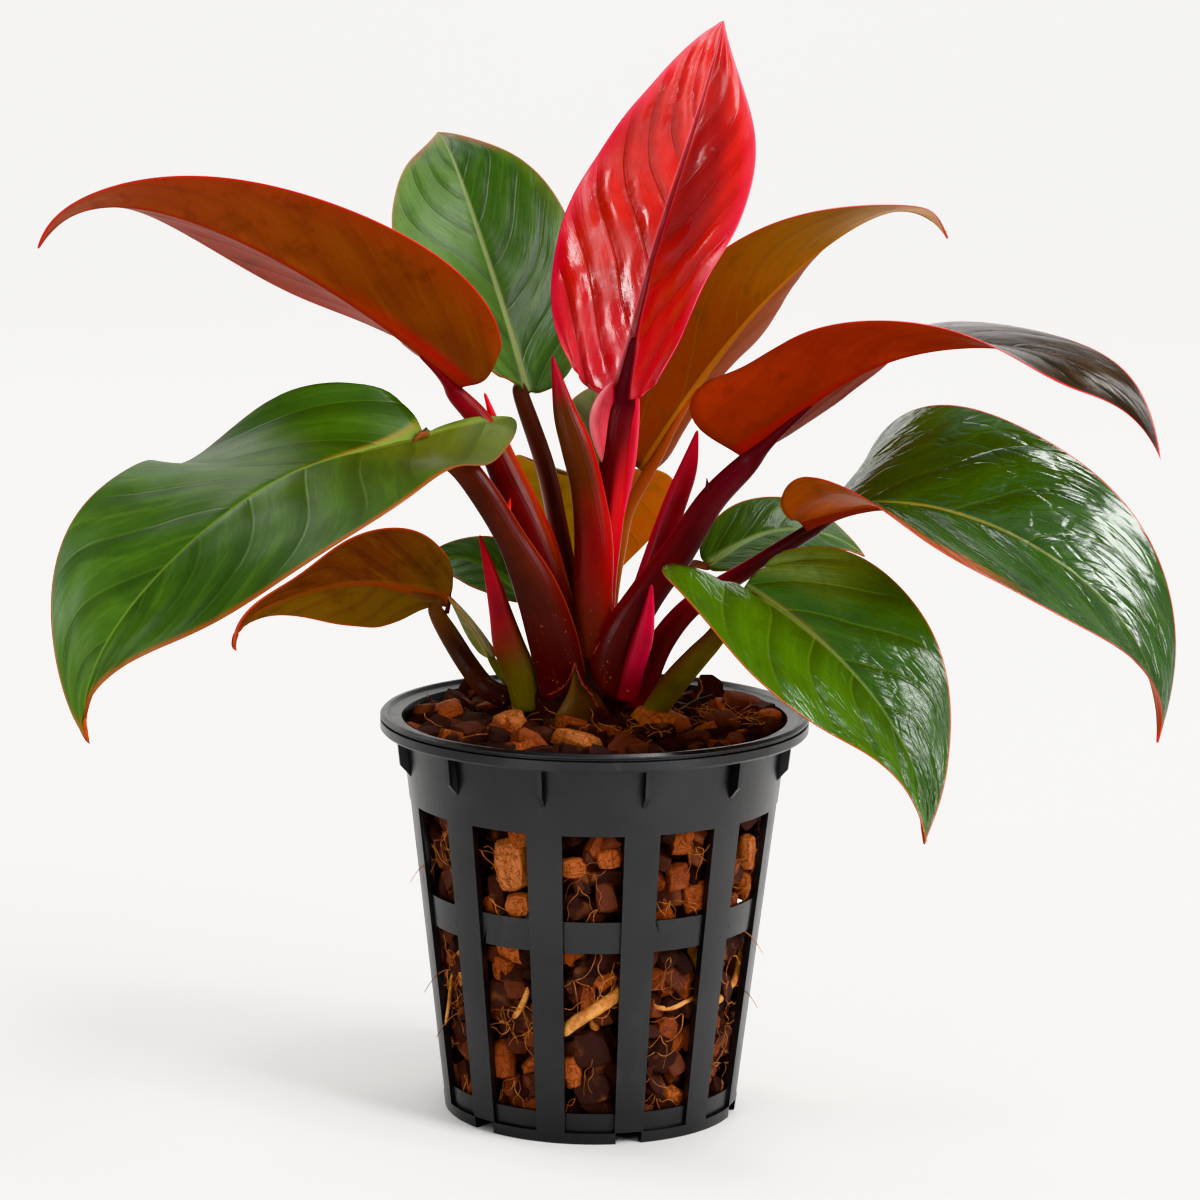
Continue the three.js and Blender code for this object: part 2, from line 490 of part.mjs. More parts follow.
// A point of a blade: t runs from base to tip, v from the left margin, -1, to the right one, 1
function bladePoint(leaf, t, v) {
  const step = 1e-4;
  const rib = alongPoints(leaf.spine, t);
  const tangent = alongPoints(leaf.spine, t + step).sub(alongPoints(leaf.spine, t - step)).normalize();
  const up = alongPoints(leaf.face, t);
  up.addScaledVector(tangent, -up.dot(tangent)).normalize();
  const side = tangent.clone().cross(up);
  const across = Math.abs(v);
  const half = v < 0 ? 0 : 1;
  const width = alongNumbers([...(half === 0 ? leaf.left : leaf.right), 0], t);
  const fold = THREE.MathUtils.degToRad(alongNumbers(leaf.fold, t));
  const bend = THREE.MathUtils.degToRad(alongNumbers(half === 0 ? leaf.curlL : leaf.curlR, t));
  const curl = Math.abs(bend) < 1e-4 ? 1e-4 : bend;
  const near = Math.max(0, 1 - t / LOBE_REACH) ** 2;
  const swell = leaf.inner[half] * near * Math.sin(Math.PI * across);
  const out = width * (Math.sin(fold + curl * across) - Math.sin(fold)) / curl - swell;
  const [height, count, phase] = leaf.wave;
  const ripple = height * Math.sin(Math.PI * t) * Math.sin(2 * Math.PI * (count * t + phase + 0.25 * half));
  const rise = width * (Math.cos(fold) - Math.cos(fold + curl * across)) / curl + ripple * across ** 2;
  const back = leaf.lobes[half] * near * (1 - Math.cos(Math.PI * across)) / 2;
  return rib.addScaledVector(side, Math.sign(v) * out).addScaledVector(up, rise).addScaledVector(tangent, -back);
}

function bladeNormal(leaf, t, v) {
  const step = 0.01;
  const across = bladePoint(leaf, t, Math.min(1, v + step)).sub(bladePoint(leaf, t, Math.max(-1, v - step)));
  const along = bladePoint(leaf, Math.min(1, t + step), v).sub(bladePoint(leaf, Math.max(0, t - step), v));
  return across.cross(along).normalize();
}

function blade(leaf, rows, columns) {
  const upper = [];
  const lower = [];
  for (let i = 0; i <= rows; i += 1) {
    for (const v of columns) {
      const start = leaf.round[v < 0 ? 0 : 1] * (1 - Math.sqrt(1 - v ** 2));
      const t = start + (LAST_STATION - start) * i / rows;
      const point = bladePoint(leaf, t, v);
      const depth = BLADE_THICKNESS + (v === 0 ? RIB_THICKNESS * (1 - t) : 0);
      upper.push(point);
      lower.push(point.clone().addScaledVector(bladeNormal(leaf, t, v), -depth));
    }
  }
  const tip = alongPoints(leaf.spine, 1);
  upper.push(tip);
  lower.push(tip.clone().addScaledVector(bladeNormal(leaf, LAST_STATION, 0), -BLADE_THICKNESS));
  const count = upper.length;
  const across = columns.length;
  const triangles = [];
  const both = (a, b, c) => triangles.push([a, b, c], [count + a, count + c, count + b]);
  for (let i = 0; i < rows; i += 1) {
    for (let j = 0; j < across - 1; j += 1) {
      const a = i * across + j;
      const b = a + across;
      const corner = columns[j] < 0 ? b : b + 1;
      both(a, a + 1, corner);
      if (columns[j] < 0) both(a + 1, b + 1, b);
      else both(a, b + 1, b);
    }
  }
  for (let j = 0; j < across - 1; j += 1) both(rows * across + j, rows * across + j + 1, count - 1);
  const border = [];
  for (let j = 0; j < across; j += 1) border.push(j);
  for (let i = 1; i <= rows; i += 1) border.push(i * across + across - 1);
  border.push(count - 1);
  for (let i = rows; i > 0; i -= 1) border.push(i * across);
  border.forEach((a, k) => {
    const b = border[(k + 1) % border.length];
    triangles.push([b, a, count + a], [b, count + a, count + b]);
  });
  return solidFromArrays([...upper, ...lower], triangles);
}

// Stalks and sheaths

// A stalk through its stations, with an elliptical section
function stalk({ broad, rows }, grow, steps, sides) {
  const curve = (pick) => new THREE.CatmullRomCurve3(rows.map((row) => new THREE.Vector3(...pick(row))), false,
    'catmullrom', 0.5);
  const line = curve((row) => row.slice(0, 3));
  const girth = curve((row) => [row[3], row[4], 0]);
  const past = grow > 0 ? GAP : 0;
  const vertices = [];
  for (let i = 0; i <= steps; i += 1) {
    const t = i / steps;
    const centre = line.getPoint(t);
    const tangent = line.getTangent(t);
    if (i === 0) centre.addScaledVector(tangent, -past);
    if (i === steps) centre.addScaledVector(tangent, past);
    const wide = new THREE.Vector3(...broad);
    wide.addScaledVector(tangent, -wide.dot(tangent)).normalize();
    const thin = tangent.clone().cross(wide);
    const size = girth.getPoint(t);
    for (let k = 0; k < sides; k += 1) {
      const turn = 2 * Math.PI * k / sides;
      const point = centre.clone().addScaledVector(wide, (size.x / 2 + grow) * Math.cos(turn));
      vertices.push(point.addScaledVector(thin, (size.y / 2 + grow) * Math.sin(turn)));
    }
  }
  const triangles = [];
  for (let i = 0; i < steps; i += 1) {
    for (let k = 0; k < sides; k += 1) {
      const a = i * sides + k;
      const b = i * sides + (k + 1) % sides;
      triangles.push([a, b, b + sides], [a, b + sides, a + sides]);
    }
  }
  for (let k = 1; k < sides - 1; k += 1) {
    triangles.push([0, k + 1, k], [steps * sides, steps * sides + k, steps * sides + k + 1]);
  }
  return solidFromArrays(vertices, triangles);
}

function roots(grow) {
  const arms = ROOTS.map((path) => {
    const [x, y] = path[path.length - 1];
    const rows = path.map((point, i) => [...point, ROOT_WIDTHS[i], ROOT_WIDTHS[i]]);
    return stalk({ broad: [-y, x, 0], rows }, grow, ROOT_STEPS, ROOT_SIDES);
  });
  const knot = new THREE.SphereGeometry(ROOT_KNOT.radius + grow, 8, 6);
  knot.translate(ROOT_KNOT.x, 0, ROOT_KNOT.z);
  return union([solidFromGeometry(knot), ...arms]);
}

// The plant's stalks and sheaths, each nestled against those set before it

const STALK_ORDER = [
  ['sheath', 'torn_foot'], ['petiole', 'left'], ['petiole', 'right_long'], ['petiole', 'front_right'],
  ['sheath', 'left_foot'], ['sheath', 'crimson_short'], ['sheath', 'great'], ['petiole', 'right'],
  ['petiole', 'upper_left'], ['sheath', 'narrow_left'], ['petiole', 'crimson_top'], ['sheath', 'crimson_tall'],
  ['petiole', 'low_left'], ['petiole', 'upper_right'], ['petiole', 'back'], ['petiole', 'back_right_small'],
  ['petiole', 'back_left_small'], ['petiole', 'olive_behind'], ['petiole', 'yellowing'],
  ['petiole', 'foot_small'],
];

function buildPlant() {
  const fat = [crown(GAP)];
  addMesh('crown', crown(0), 'crown');
  for (const [kind, name] of STALK_ORDER) {
    const size = kind === 'petiole' ? PETIOLES[name] : SHEATHS[name];
    const finish = kind === 'petiole' ? PETIOLE_FINISH[name] ?? 'maroon' : SHEATH_FINISH[name] ?? 'crimson';
    const body = stalk(size, 0, STALK_STEPS, STALK_SIDES).subtract(union(fat));
    addMesh(`${kind}_${name}`, body, finish);
    fat.push(stalk(size, GAP, STALK_STEPS, STALK_SIDES));
  }
  const clear = union(fat);
  for (const [name, leaf] of Object.entries(BLADES)) {
    const small = SMALL_BLADES.includes(name);
    const body = small ? blade(leaf, PLAIN_ROWS, PLAIN_COLUMNS) : blade(leaf, FINE_ROWS, FINE_COLUMNS);
    addMesh(`blade_${name}`, body.subtract(clear), BLADE_FINISH[name]);
  }
  return clear;
}

addMesh('pot', pot(), 'pot');
const plantClear = buildPlant();
addMesh('roots', roots(0).subtract(crown(GAP)), 'root');
addMesh('bark_mix', barkMix().subtract(plantClear).subtract(roots(GAP)), 'bark');

export default group;
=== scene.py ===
import math
import random
from contextlib import contextmanager

import bpy
import numpy as np
from mathutils import Euler, Matrix, Vector


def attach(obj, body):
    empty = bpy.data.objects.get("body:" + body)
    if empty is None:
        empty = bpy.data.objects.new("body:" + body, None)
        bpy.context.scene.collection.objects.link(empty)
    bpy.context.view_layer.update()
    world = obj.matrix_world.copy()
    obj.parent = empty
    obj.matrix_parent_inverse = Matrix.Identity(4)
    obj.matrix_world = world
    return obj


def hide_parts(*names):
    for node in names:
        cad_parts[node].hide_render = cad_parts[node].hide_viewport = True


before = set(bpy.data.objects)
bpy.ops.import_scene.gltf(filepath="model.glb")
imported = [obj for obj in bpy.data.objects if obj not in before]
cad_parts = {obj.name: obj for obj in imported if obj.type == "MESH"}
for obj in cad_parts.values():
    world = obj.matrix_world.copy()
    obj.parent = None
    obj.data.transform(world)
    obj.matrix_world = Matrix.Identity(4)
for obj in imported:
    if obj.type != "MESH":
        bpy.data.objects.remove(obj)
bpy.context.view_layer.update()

MM = 0.001

# Sizes, in millimetres, the same as the part's own

WALL_FOOT_RADIUS = 44.7
WALL_TAPER = 0.118
WALL_THICKNESS = 2.2
FLOOR_TOP = 4.6
FOOT_HEIGHT = 3
HUB_RADIUS = 9
RECESS_DEPTH = 1.0
RECESS_FOOT = 3.5
RIM_RADIUS = 65
RIM_TOP = 122.8
RIM_BAND = 5.5
RIM_WIDTH = 6.5
WINDOW_HALF_ANGLE = 9.4
WINDOW_ROWS = [(9.5, 60), (69.8, 96.4)]
WINDOW_STEP = 30
COLUMNS = range(0, 360, WINDOW_STEP)
WINDOWS = [(column, bottom, top) for column in COLUMNS for bottom, top in WINDOW_ROWS]
MIDWAY = WINDOW_STEP / 2  # from a column of windows to the lug and the notch beside it
DRAINS = range(0, 360, 60)
LUG_REACH = 2.8
LUG_WIDTH = 1.35
LUG_FOOT = (103.5, 108.5)

# Chips that stand out: x, y, z of the centre, the three sizes, and the tone from 0, dark, to 1, bright
TOP_CHIPS = [
    (-44, 1, 124, 11, 8, 6, 0.7), (-25, -15, 124, 12, 9, 7, 0.96), (-5, -33, 122.5, 17, 10, 6, 1.0),
    (9, -28, 121.5, 8, 6, 5, 0.5), (20, -13, 125, 16, 13, 7, 0.85), (-31, 17, 122, 9, 8, 6, 0.55),
    (-39, 44, 124, 13, 9, 13, 0.16), (39, 48, 124, 11, 9, 12, 0.3), (46, 22, 123, 13, 9, 6, 0.5),
    (53, 7, 121.5, 8, 7, 6, 0.75), (-50, 9, 122, 10, 8, 6, 0.3), (30, -28, 122, 9, 7, 6, 0.3),
    (-38, -20, 122, 9, 7, 5, 0.3), (-16, -27, 122, 8, 7, 5, 0.25), (38, -8, 123, 10, 8, 6, 0.4),
]
WINDOW_CHIPS = [
    (-22.3, -41, 85, 10, 15, 6, 0.97), (-20.7, -42, 73, 8, 7, 5, 0.9), (-5.2, -46, 86, 7, 6, 4, 0.85),
    (4.4, -46, 89, 7, 6, 4, 0.75), (3.7, -45, 77, 6, 9, 4, 0.4), (23, -40, 82, 7, 8, 4, 0.6),
    (28, -36, 75, 8, 9, 4, 0.68), (43, -18, 84, 6, 11, 5, 0.95), (42, -15, 73, 6, 8, 5, 0.85),
    (0.4, -40, 29, 11, 11, 6, 0.12), (0.5, -39, 17, 11, 10, 6, 0.1), (-24, -31, 23, 8, 12, 5, 0.62),
    (-5, -41, 22, 5, 10, 4, 0.8), (-26, -33, 44, 10, 9, 5, 0.2), (30, -30, 30, 8, 8, 5, 0.45),
]

# Blades. Control values along the rib: spine is its place, face the way the blade faces, left and right the
# half widths, fold and the curls the angles of the halves. With one value for each half: lobes and inner, how
# far the base reaches back and draws in, and round, where the margin starts. Wave is height, count and phase
BLADES = {
    "crimson_top": dict(
        spine=[(8, 6, 217), (12, 10, 256), (23, 13, 281), (30, 1, 305), (36, 13, 330)],
        face=[(-0.49, -0.77, 0.39), (-0.44, -0.37, 0.44), (0.53, -0.93, 0.12)],
        left=[12, 45, 31, 18, 23], right=[16, 42, 38, 30, 11], lobes=[-2, -1], inner=[-7, -2],
        round=[0.07, 0.15], fold=[20, 26, 7], curl_left=[-7, -9], curl_right=[19, -12], wave=(0.8, 3, 0.1)),
    "back": dict(
        spine=[(-22, 27, 217), (-27, 46, 236), (-43, 48, 277), (-45, 65, 286), (-52, 86, 292)],
        face=[(0.71, -0.43, 0.48), (0.05, -0.71, 0.69), (-0.24, -0.55, 0.79)],
        left=[19, 35, 40, 26, 12], right=[16, 32, 42, 26, 8], lobes=[3, -2], inner=[-1, 0],
        round=[0.08, 0.12], fold=[7, 8, 15], curl_left=[-6, 1], curl_right=[-10, 1], wave=(1, 2.5, 0.4)),
    "upper_left": dict(
        spine=[(-42, 8, 221), (-58, -14, 240), (-104, -27, 273), (-148, -26, 292), (-166, -10, 262)],
        face=[(0.51, 0.19, 0.92), (-0.04, 0.59, 0.58), (-0.57, 0.32, 0.89)],
        left=[20, 42, 39, 7, 8], right=[29, 38, 48, 27, 5], lobes=[-10, 11], inner=[-5, -22],
        round=[0.02, 0.11], fold=[30, 25, 18], curl_left=[9, -16], curl_right=[-39, -1], wave=(0.6, 2, 0)),
    "left": dict(
        spine=[(-51, -14, 208), (-96, -58, 202), (-79, -74, 214), (-156, -88, 165), (-142, -87, 129)],
        face=[(-0.4, -0.89, 0.17), (-0.65, 0.08, 0.95), (0.32, -0.92, -0.29)],
        left=[-3, 73, 51, 50, -6], right=[13, 79, 58, 52, 11], lobes=[48, -7], inner=[2, -10],
        round=[0.04, 0.11], fold=[12, -24, 33], curl_left=[4, -6], curl_right=[-14, 7], wave=(1.5, 2, 0.3)),
    "low_left": dict(
        spine=[(-45, 9, 154), (-72, 6, 164), (-66, 8, 162), (-113, 2, 158), (-109, -1, 140)],
        face=[(-0.02, 0.92, 0.31), (-0.25, 0.77, 0.53), (-0.69, 0.67, 0.32)],
        left=[8, 30, 20, 1, 5], right=[6, 25, 23, 14, -3], lobes=[1, -3], inner=[-1, 1],
        round=[0.06, 0.12], fold=[19, -4, -1], curl_left=[3, -25], curl_right=[0, -9], wave=(0.8, 2.5, 0.2)),
    "upper_right": dict(
        spine=[(14, 24, 193), (47, 18, 256), (67, 28, 259), (93, 54, 288), (109, 64, 262)],
        face=[(-0.69, 0.65, 0.29), (0.04, 0.48, 0.82), (0.31, 0.23, 1.09)],
        left=[19, 35, 41, 20, -1], right=[22, 26, 37, 23, 11], lobes=[-10, -2], inner=[-7, -1],
        round=[0.1, 0.09], fold=[28, 3, -2], curl_left=[22, -18], curl_right=[-3, -22], wave=(0.6, 2, 0.5)),
    "right_long": dict(
        spine=[(44, -2, 202), (89, -34, 248), (79, -36, 229), (145, -16, 259), (165, -28, 205)],
        face=[(-0.02, 0.33, 0.88), (0.08, 0.16, 1.19), (-0.13, -0.51, 0.04)],
        left=[37, 36, 43, 29, 11], right=[23, 11, 44, 25, 3], lobes=[-13, -14], inner=[-5, -19],
        round=[0.13, 0.02], fold=[30, 26, -13], curl_left=[-14, -20], curl_right=[19, -39], wave=(0.6, 2, 0)),
    "right": dict(
        spine=[(63, -2, 181), (90, -14, 201), (124, -20, 185), (170, -27, 166), (167, -30, 121)],
        face=[(-0.06, 0.19, 0.93), (0.09, -1.22, 0.73), (0.96, -0.16, -0.04)],
        left=[29, 54, 32, 29, 28], right=[17, 55, 42, 31, 23], lobes=[-9, 4], inner=[-5, -6],
        round=[0.02, 0.13], fold=[25, 17, 17], curl_left=[-9, -6], curl_right=[16, 2], wave=(0.8, 2.5, 0.7)),
    "front_right": dict(
        spine=[(43, -33, 167), (60, -48, 161), (90, -66, 140), (95, -90, 120), (93, -97, 105)],
        face=[(0.02, -0.36, 0.86), (0.18, -0.79, 0.65), (0.69, -0.7, 0.23)],
        left=[15, 45, 32, 17, 3], right=[17, 37, 41, 22, 1], lobes=[1, 28], inner=[0, 2],
        round=[0.02, 0.07], fold=[19, 2, 15], curl_left=[-1, -5], curl_right=[4, -8], wave=(0.8, 2.5, 0.1)),
    "back_right_small": dict(
        spine=[(35, 31, 163), (48, 34, 173), (58, 38, 177), (74, 42, 173), (84, 44, 164)],
        face=[(-0.2, -0.6, 0.75), (0, -0.65, 0.75), (0.2, -0.7, 0.6)],
        left=[5, 16, 18, 10, 4], right=[4, 16, 16, 9, 4], lobes=[4, 4], inner=[1, 1],
        round=[0.1, 0.1], fold=[12, 8, 5], curl_left=[2, -8], curl_right=[2, -8], wave=(0.5, 2, 0)),
    "back_left_small": dict(
        spine=[(-22, 46, 150), (-32, 50, 158), (-40, 54, 163), (-50, 58, 162), (-58, 62, 154)],
        face=[(0.2, -0.6, 0.75), (0, -0.65, 0.75), (-0.2, -0.7, 0.6)],
        left=[4, 13, 14, 8, 3], right=[4, 13, 14, 8, 3], lobes=[4, 4], inner=[1, 1],
        round=[0.1, 0.1], fold=[10, 8, 5], curl_left=[2, -8], curl_right=[2, -8], wave=(0.5, 2, 0.3)),
    "yellowing": dict(
        spine=[(0, 38, 188), (0, 46, 189), (-1, 51, 177), (-1, 52, 162), (-2, 50, 146)],
        face=[(0, 0.4, 0.9), (0, 1, 0.2), (0, 1, 0)],
        left=[20, 34, 30, 12, 3], right=[12, 26, 34, 24, 6], lobes=[8, -6], inner=[0, 0],
        round=[0.1, 0.1], fold=[12, 8, 5], curl_left=[8, 0], curl_right=[8, 0], wave=(0.6, 2, 0.2)),
    "olive_behind": dict(
        spine=[(2, 24, 188), (1, 34, 203), (1, 46, 213), (5, 58, 216), (10, 70, 212)],
        face=[(0.1, -0.9, 0.4), (0, -0.75, 0.65), (0.1, -0.4, 0.9)],
        left=[5, 15, 16, 9, 3], right=[5, 15, 16, 9, 3], lobes=[2, 2], inner=[0, 0],
        round=[0.1, 0.1], fold=[15, 10, 5], curl_left=[0, -8], curl_right=[0, -8], wave=(0.6, 2, 0.6)),
    "foot_small": dict(
        spine=[(-32, 2, 138), (-35, 0, 144), (-38, -1, 149), (-42, 0, 154), (-45, 1, 157)],
        face=[(-0.55, -0.3, -0.75), (-0.55, -0.4, -0.7), (-0.6, -0.3, -0.7)],
        left=[2.5, 5, 5, 4, 2], right=[2.5, 6, 6, 4, 2], lobes=[0, 0], inner=[0, 0],
        round=[0.1, 0.1], fold=[15, 15, 10], curl_left=[10, 5], curl_right=[10, 5], wave=(0, 1, 0)),
}

# Stalks: the direction of the width, and stations of x, y, z, width and thickness
PETIOLES = {
    "left": ((1, 0, 0.5), [
        (-8.5, -8, 126, 14, 7), (-12.5, -10, 145, 15, 7), (-18, -12, 162, 13, 7), (-25.5, -13, 177, 9, 6.5),
        (-34, -14, 191, 8.5, 6), (-41.5, -14, 200, 8, 5.5), (-49, -14, 205.5, 7, 5)]),
    "right_long": ((1, 0, -0.6), [
        (3, -7, 127, 14, 7), (7, -8, 145, 13, 7), (14.5, -8, 159, 11, 7), (24.5, -7, 173, 10, 6.5),
        (34, -5, 188, 8.5, 6), (43.4, -2.4, 200.6, 7.5, 5)]),
    "front_right": ((1, 0.3, -0.6), [
        (9, -8, 114, 7, 6), (16.5, -12, 123.5, 7.5, 6), (23.5, -18, 135, 8.2, 6), (30, -24, 144, 7.5, 5.5),
        (36, -29, 152, 6, 5), (42.4, -32, 165, 4.5, 4)]),
    "right": ((1, 0, -0.8), [
        (10.5, -2, 123, 11, 6), (15, -1, 133, 8.6, 6), (20.5, 0, 145, 7.8, 6), (30, 1, 156, 6.6, 5.5),
        (46.5, 1, 167, 5.4, 5), (62.6, -1.8, 180.6, 5, 4.5)]),
    "upper_left": ((1, 0.2, 0.4), [
        (-6, -1, 138, 9, 6), (-11, -1, 155, 9.5, 6), (-17.5, 0, 173, 9.5, 6), (-27, 3, 193, 10, 6),
        (-35, 6, 209, 7.5, 5), (-41.4, 7.4, 219.4, 6, 4.5)]),
    "low_left": ((0.8, 0, 0.6), [
        (-25, 1, 125, 7, 5.5), (-33, 3, 129, 6.8, 5.5), (-38.5, 6, 135, 6.6, 5), (-44.5, 8, 144, 6.2, 4.5),
        (-48.6, 8.8, 152.2, 5, 4)]),
    "crimson_top": ((1, 0, 0), [
        (1, 4, 138, 9, 6), (1.5, 5, 159, 9, 6), (3, 6, 177, 9.5, 6), (5, 6.5, 196, 9.6, 5.5),
        (7, 6.5, 212, 9, 5), (8, 6, 216.8, 8.5, 4.5)]),
    "upper_right": ((1, 0, -0.2), [
        (3, 8, 139, 5, 5), (5, 12, 156, 3.8, 4), (7, 15.5, 169, 3.8, 3.8), (9.5, 19, 181, 3.8, 3.8),
        (13.6, 23.6, 192.4, 4.2, 4)]),
    "back": ((1, 0, 0.2), [
        (-4.5, 7, 138, 6, 5.5), (-8, 13, 158, 6, 5), (-12, 18, 177, 6, 5), (-16, 23, 194, 6, 5),
        (-21.8, 26.6, 215.8, 5.4, 4.4)]),
    "back_right_small": ((1, 0, -0.6), [
        (7, 9, 129, 5, 4), (14, 16, 146, 4, 3.6), (21, 23, 157, 3.4, 3), (29, 29, 163, 3, 2.6),
        (33.8, 30.8, 163, 2.6, 2.4)]),
    "back_left_small": ((1, 0.3, 0), [
        (-10, 9, 129, 5, 4), (-15, 24, 139, 4, 3.6), (-19, 38, 146, 3.2, 3), (-21.4, 45, 149, 2.6, 2.4)]),
    "yellowing": ((1, 0, 0), [
        (0, 10, 131, 6, 5), (1, 20, 154, 5, 4.5), (1, 29, 172, 4, 4), (0, 36.6, 186.8, 3.6, 3.4)]),
    "olive_behind": ((1, 0, 0), [
        (-4, 4, 139, 5, 5), (-4, 13, 160, 4.6, 4.5), (-1, 19, 176, 4.4, 4), (1.8, 23.6, 187, 4, 3.6)]),
    "foot_small": ((0.7, 0, 0.7), [
        (-20, 3, 127, 4, 3.4), (-25, 3, 130, 3.4, 3), (-29, 3, 134, 3, 2.6), (-32.4, 2, 137.8, 2.4, 2)]),
}

SHEATHS = {
    "great": ((1, 0, 0), [
        (-2, -3, 129, 10, 6), (-1, -4, 145, 11, 7), (-1, -5, 161, 12, 7.5), (-1, -5, 176, 11.6, 7),
        (-3, -4, 191, 10, 6), (-6.5, -3, 204, 9.4, 5.5), (-10, -2, 214, 7, 4), (-14, 0, 231, 0.8, 0.8)]),
    "crimson_tall": ((1, 0, -0.3), [
        (5, 5, 130, 7, 4), (12, 5, 151, 7.5, 4), (18.5, 5.5, 171, 7.5, 4), (24, 6, 187, 7, 4),
        (27.5, 6.5, 197, 5.4, 3.4), (30, 7, 208, 0.8, 0.8)]),
    "crimson_short": ((1, 0, -0.2), [
        (9.5, -12, 128, 6.2, 4), (11.5, -13, 138, 6.4, 4), (14, -13, 147, 6.4, 4), (15.5, -13, 155, 4.2, 3),
        (16.5, -13, 164, 0.8, 0.8)]),
    "left_foot": ((1, 0, 0.3), [
        (-20.5, -5, 123, 8, 5.5), (-22.5, -7, 135, 9.5, 6), (-26, -8, 144, 9.6, 5.5),
        (-28.5, -9, 154, 7, 5), (-31, -10, 164, 4.6, 3.4), (-35, -10, 178, 0.8, 0.8)]),
    "narrow_left": ((1, 0.2, 0.4), [
        (-8, 3, 151, 5, 3), (-14, 4.6, 171, 5.4, 3), (-19.5, 6, 183, 5.6, 3), (-25.5, 8, 195, 5.2, 3),
        (-30.5, 10, 207, 3.4, 2.4), (-34.5, 12, 218, 0.8, 0.8)]),
    "torn_foot": ((1, 0, 0), [
        (-3, -14.5, 117, 16, 3.4), (-3.5, -16, 123.5, 17, 3.2), (-4, -16, 128.5, 12, 3),
        (-5, -15, 133.5, 5, 2.4), (-6, -13.5, 139.5, 0.8, 0.8)]),
}

CROWN_OUTLINE = [(0, 94), (9, 95), (13, 103), (15.5, 112), (16.5, 120), (14.5, 124), (15, 129), (12, 135),
                 (9.5, 139), (5, 143), (0, 144)]
CROWN_WIDE, CROWN_DEEP = 1.1, 0.85
CROWN_MIDDLE = -5
ROOT_WIDTHS = [5, 4.4, 3.4, 2.4]
ROOTS = [
    [(-3, -5, 92), (-2, -22, 78), (-3, -38, 55), (3, -43, 28)],
    [(2, -4, 92), (18, -20, 74), (32, -31, 52), (34, -28, 34)],
    [(-8, -3, 92), (-24, -16, 80), (-38, -24, 60), (-38, -20, 36)],
    [(0, 4, 92), (10, 24, 78), (24, 36, 58), (25, 36, 32)],
    [(-8, 4, 92), (-22, 22, 76), (-29, 35, 54), (-25, 35, 30)],
]
ROOTS_IN_WINDOWS = [
    [(-9, -45, 34, 3.6), (-4, -46.4, 38.6, 4), (2.5, -47, 43, 4), (8, -46.8, 47, 3.8),
     (13.5, -45.6, 51.5, 3.2)],
    [(34, -28, 37.5, 1.6), (38.5, -24, 39.5, 2.6), (43, -16.6, 43, 2.6), (44.6, -13.4, 48, 2.4),
     (45.4, -11.6, 54, 2)],
    [(15.5, -41, 45, 1), (19, -42.2, 42, 1.4), (24, -39.6, 41, 1.6), (30, -35.2, 42.6, 1.2),
     (33, -32.6, 43, 0.8)],
    [(-44, -19, 29, 0.8), (-43, -18.6, 36, 1.2), (-42.4, -17, 42, 1.4), (-41, -16, 48, 1)],
    [(-27.5, -36, 35, 0.8), (-23.6, -39, 36.6, 1.4), (-20.4, -41.4, 42, 2), (-18.4, -42.6, 48, 1.4)],
]


# Shaders

def tint(code, share=1):
    """A colour for a socket from its six sRGB digits, made darker where the share is below 1."""
    parts = [int(code[i:i + 2], 16) / 255 for i in (0, 2, 4)]
    linear = [p / 12.92 if p <= 0.04045 else ((p + 0.055) / 1.055) ** 2.4 for p in parts]
    return [p * share for p in linear] + [1]


class Signal:
    """One output of a shader node; arithmetic on it adds Math nodes."""

    def __init__(self, finish, socket):
        self.finish = finish
        self.socket = socket

    def math(self, operation, *values):
        return self.finish.node("ShaderNodeMath", {"operation": operation}, dict(enumerate(values)))

    __add__ = lambda self, other: self.math("ADD", self, other)
    __radd__ = lambda self, other: self.math("ADD", other, self)
    __sub__ = lambda self, other: self.math("SUBTRACT", self, other)
    __rsub__ = lambda self, other: self.math("SUBTRACT", other, self)
    __mul__ = lambda self, other: self.math("MULTIPLY", self, other)
    __truediv__ = lambda self, other: self.math("DIVIDE", self, other)
    __pow__ = lambda self, other: self.math("POWER", self, other)
    __abs__ = lambda self: self.math("ABSOLUTE", self)

    def most(self, other):
        return self.math("MAXIMUM", self, other)

    def beat(self, size):
        return self.math("PINGPONG", self, size)

    def sine(self):
        return self.math("SINE", self)

    def rise(self, low, high):
        """0 below low, 1 above high and smooth between; falls instead where low is the larger."""
        if low > high:
            return 1 - self.rise(high, low)
        values = {"Value": self, "From Min": low, "From Max": high}
        return self.finish.node("ShaderNodeMapRange", {"interpolation_type": "SMOOTHSTEP"}, values)


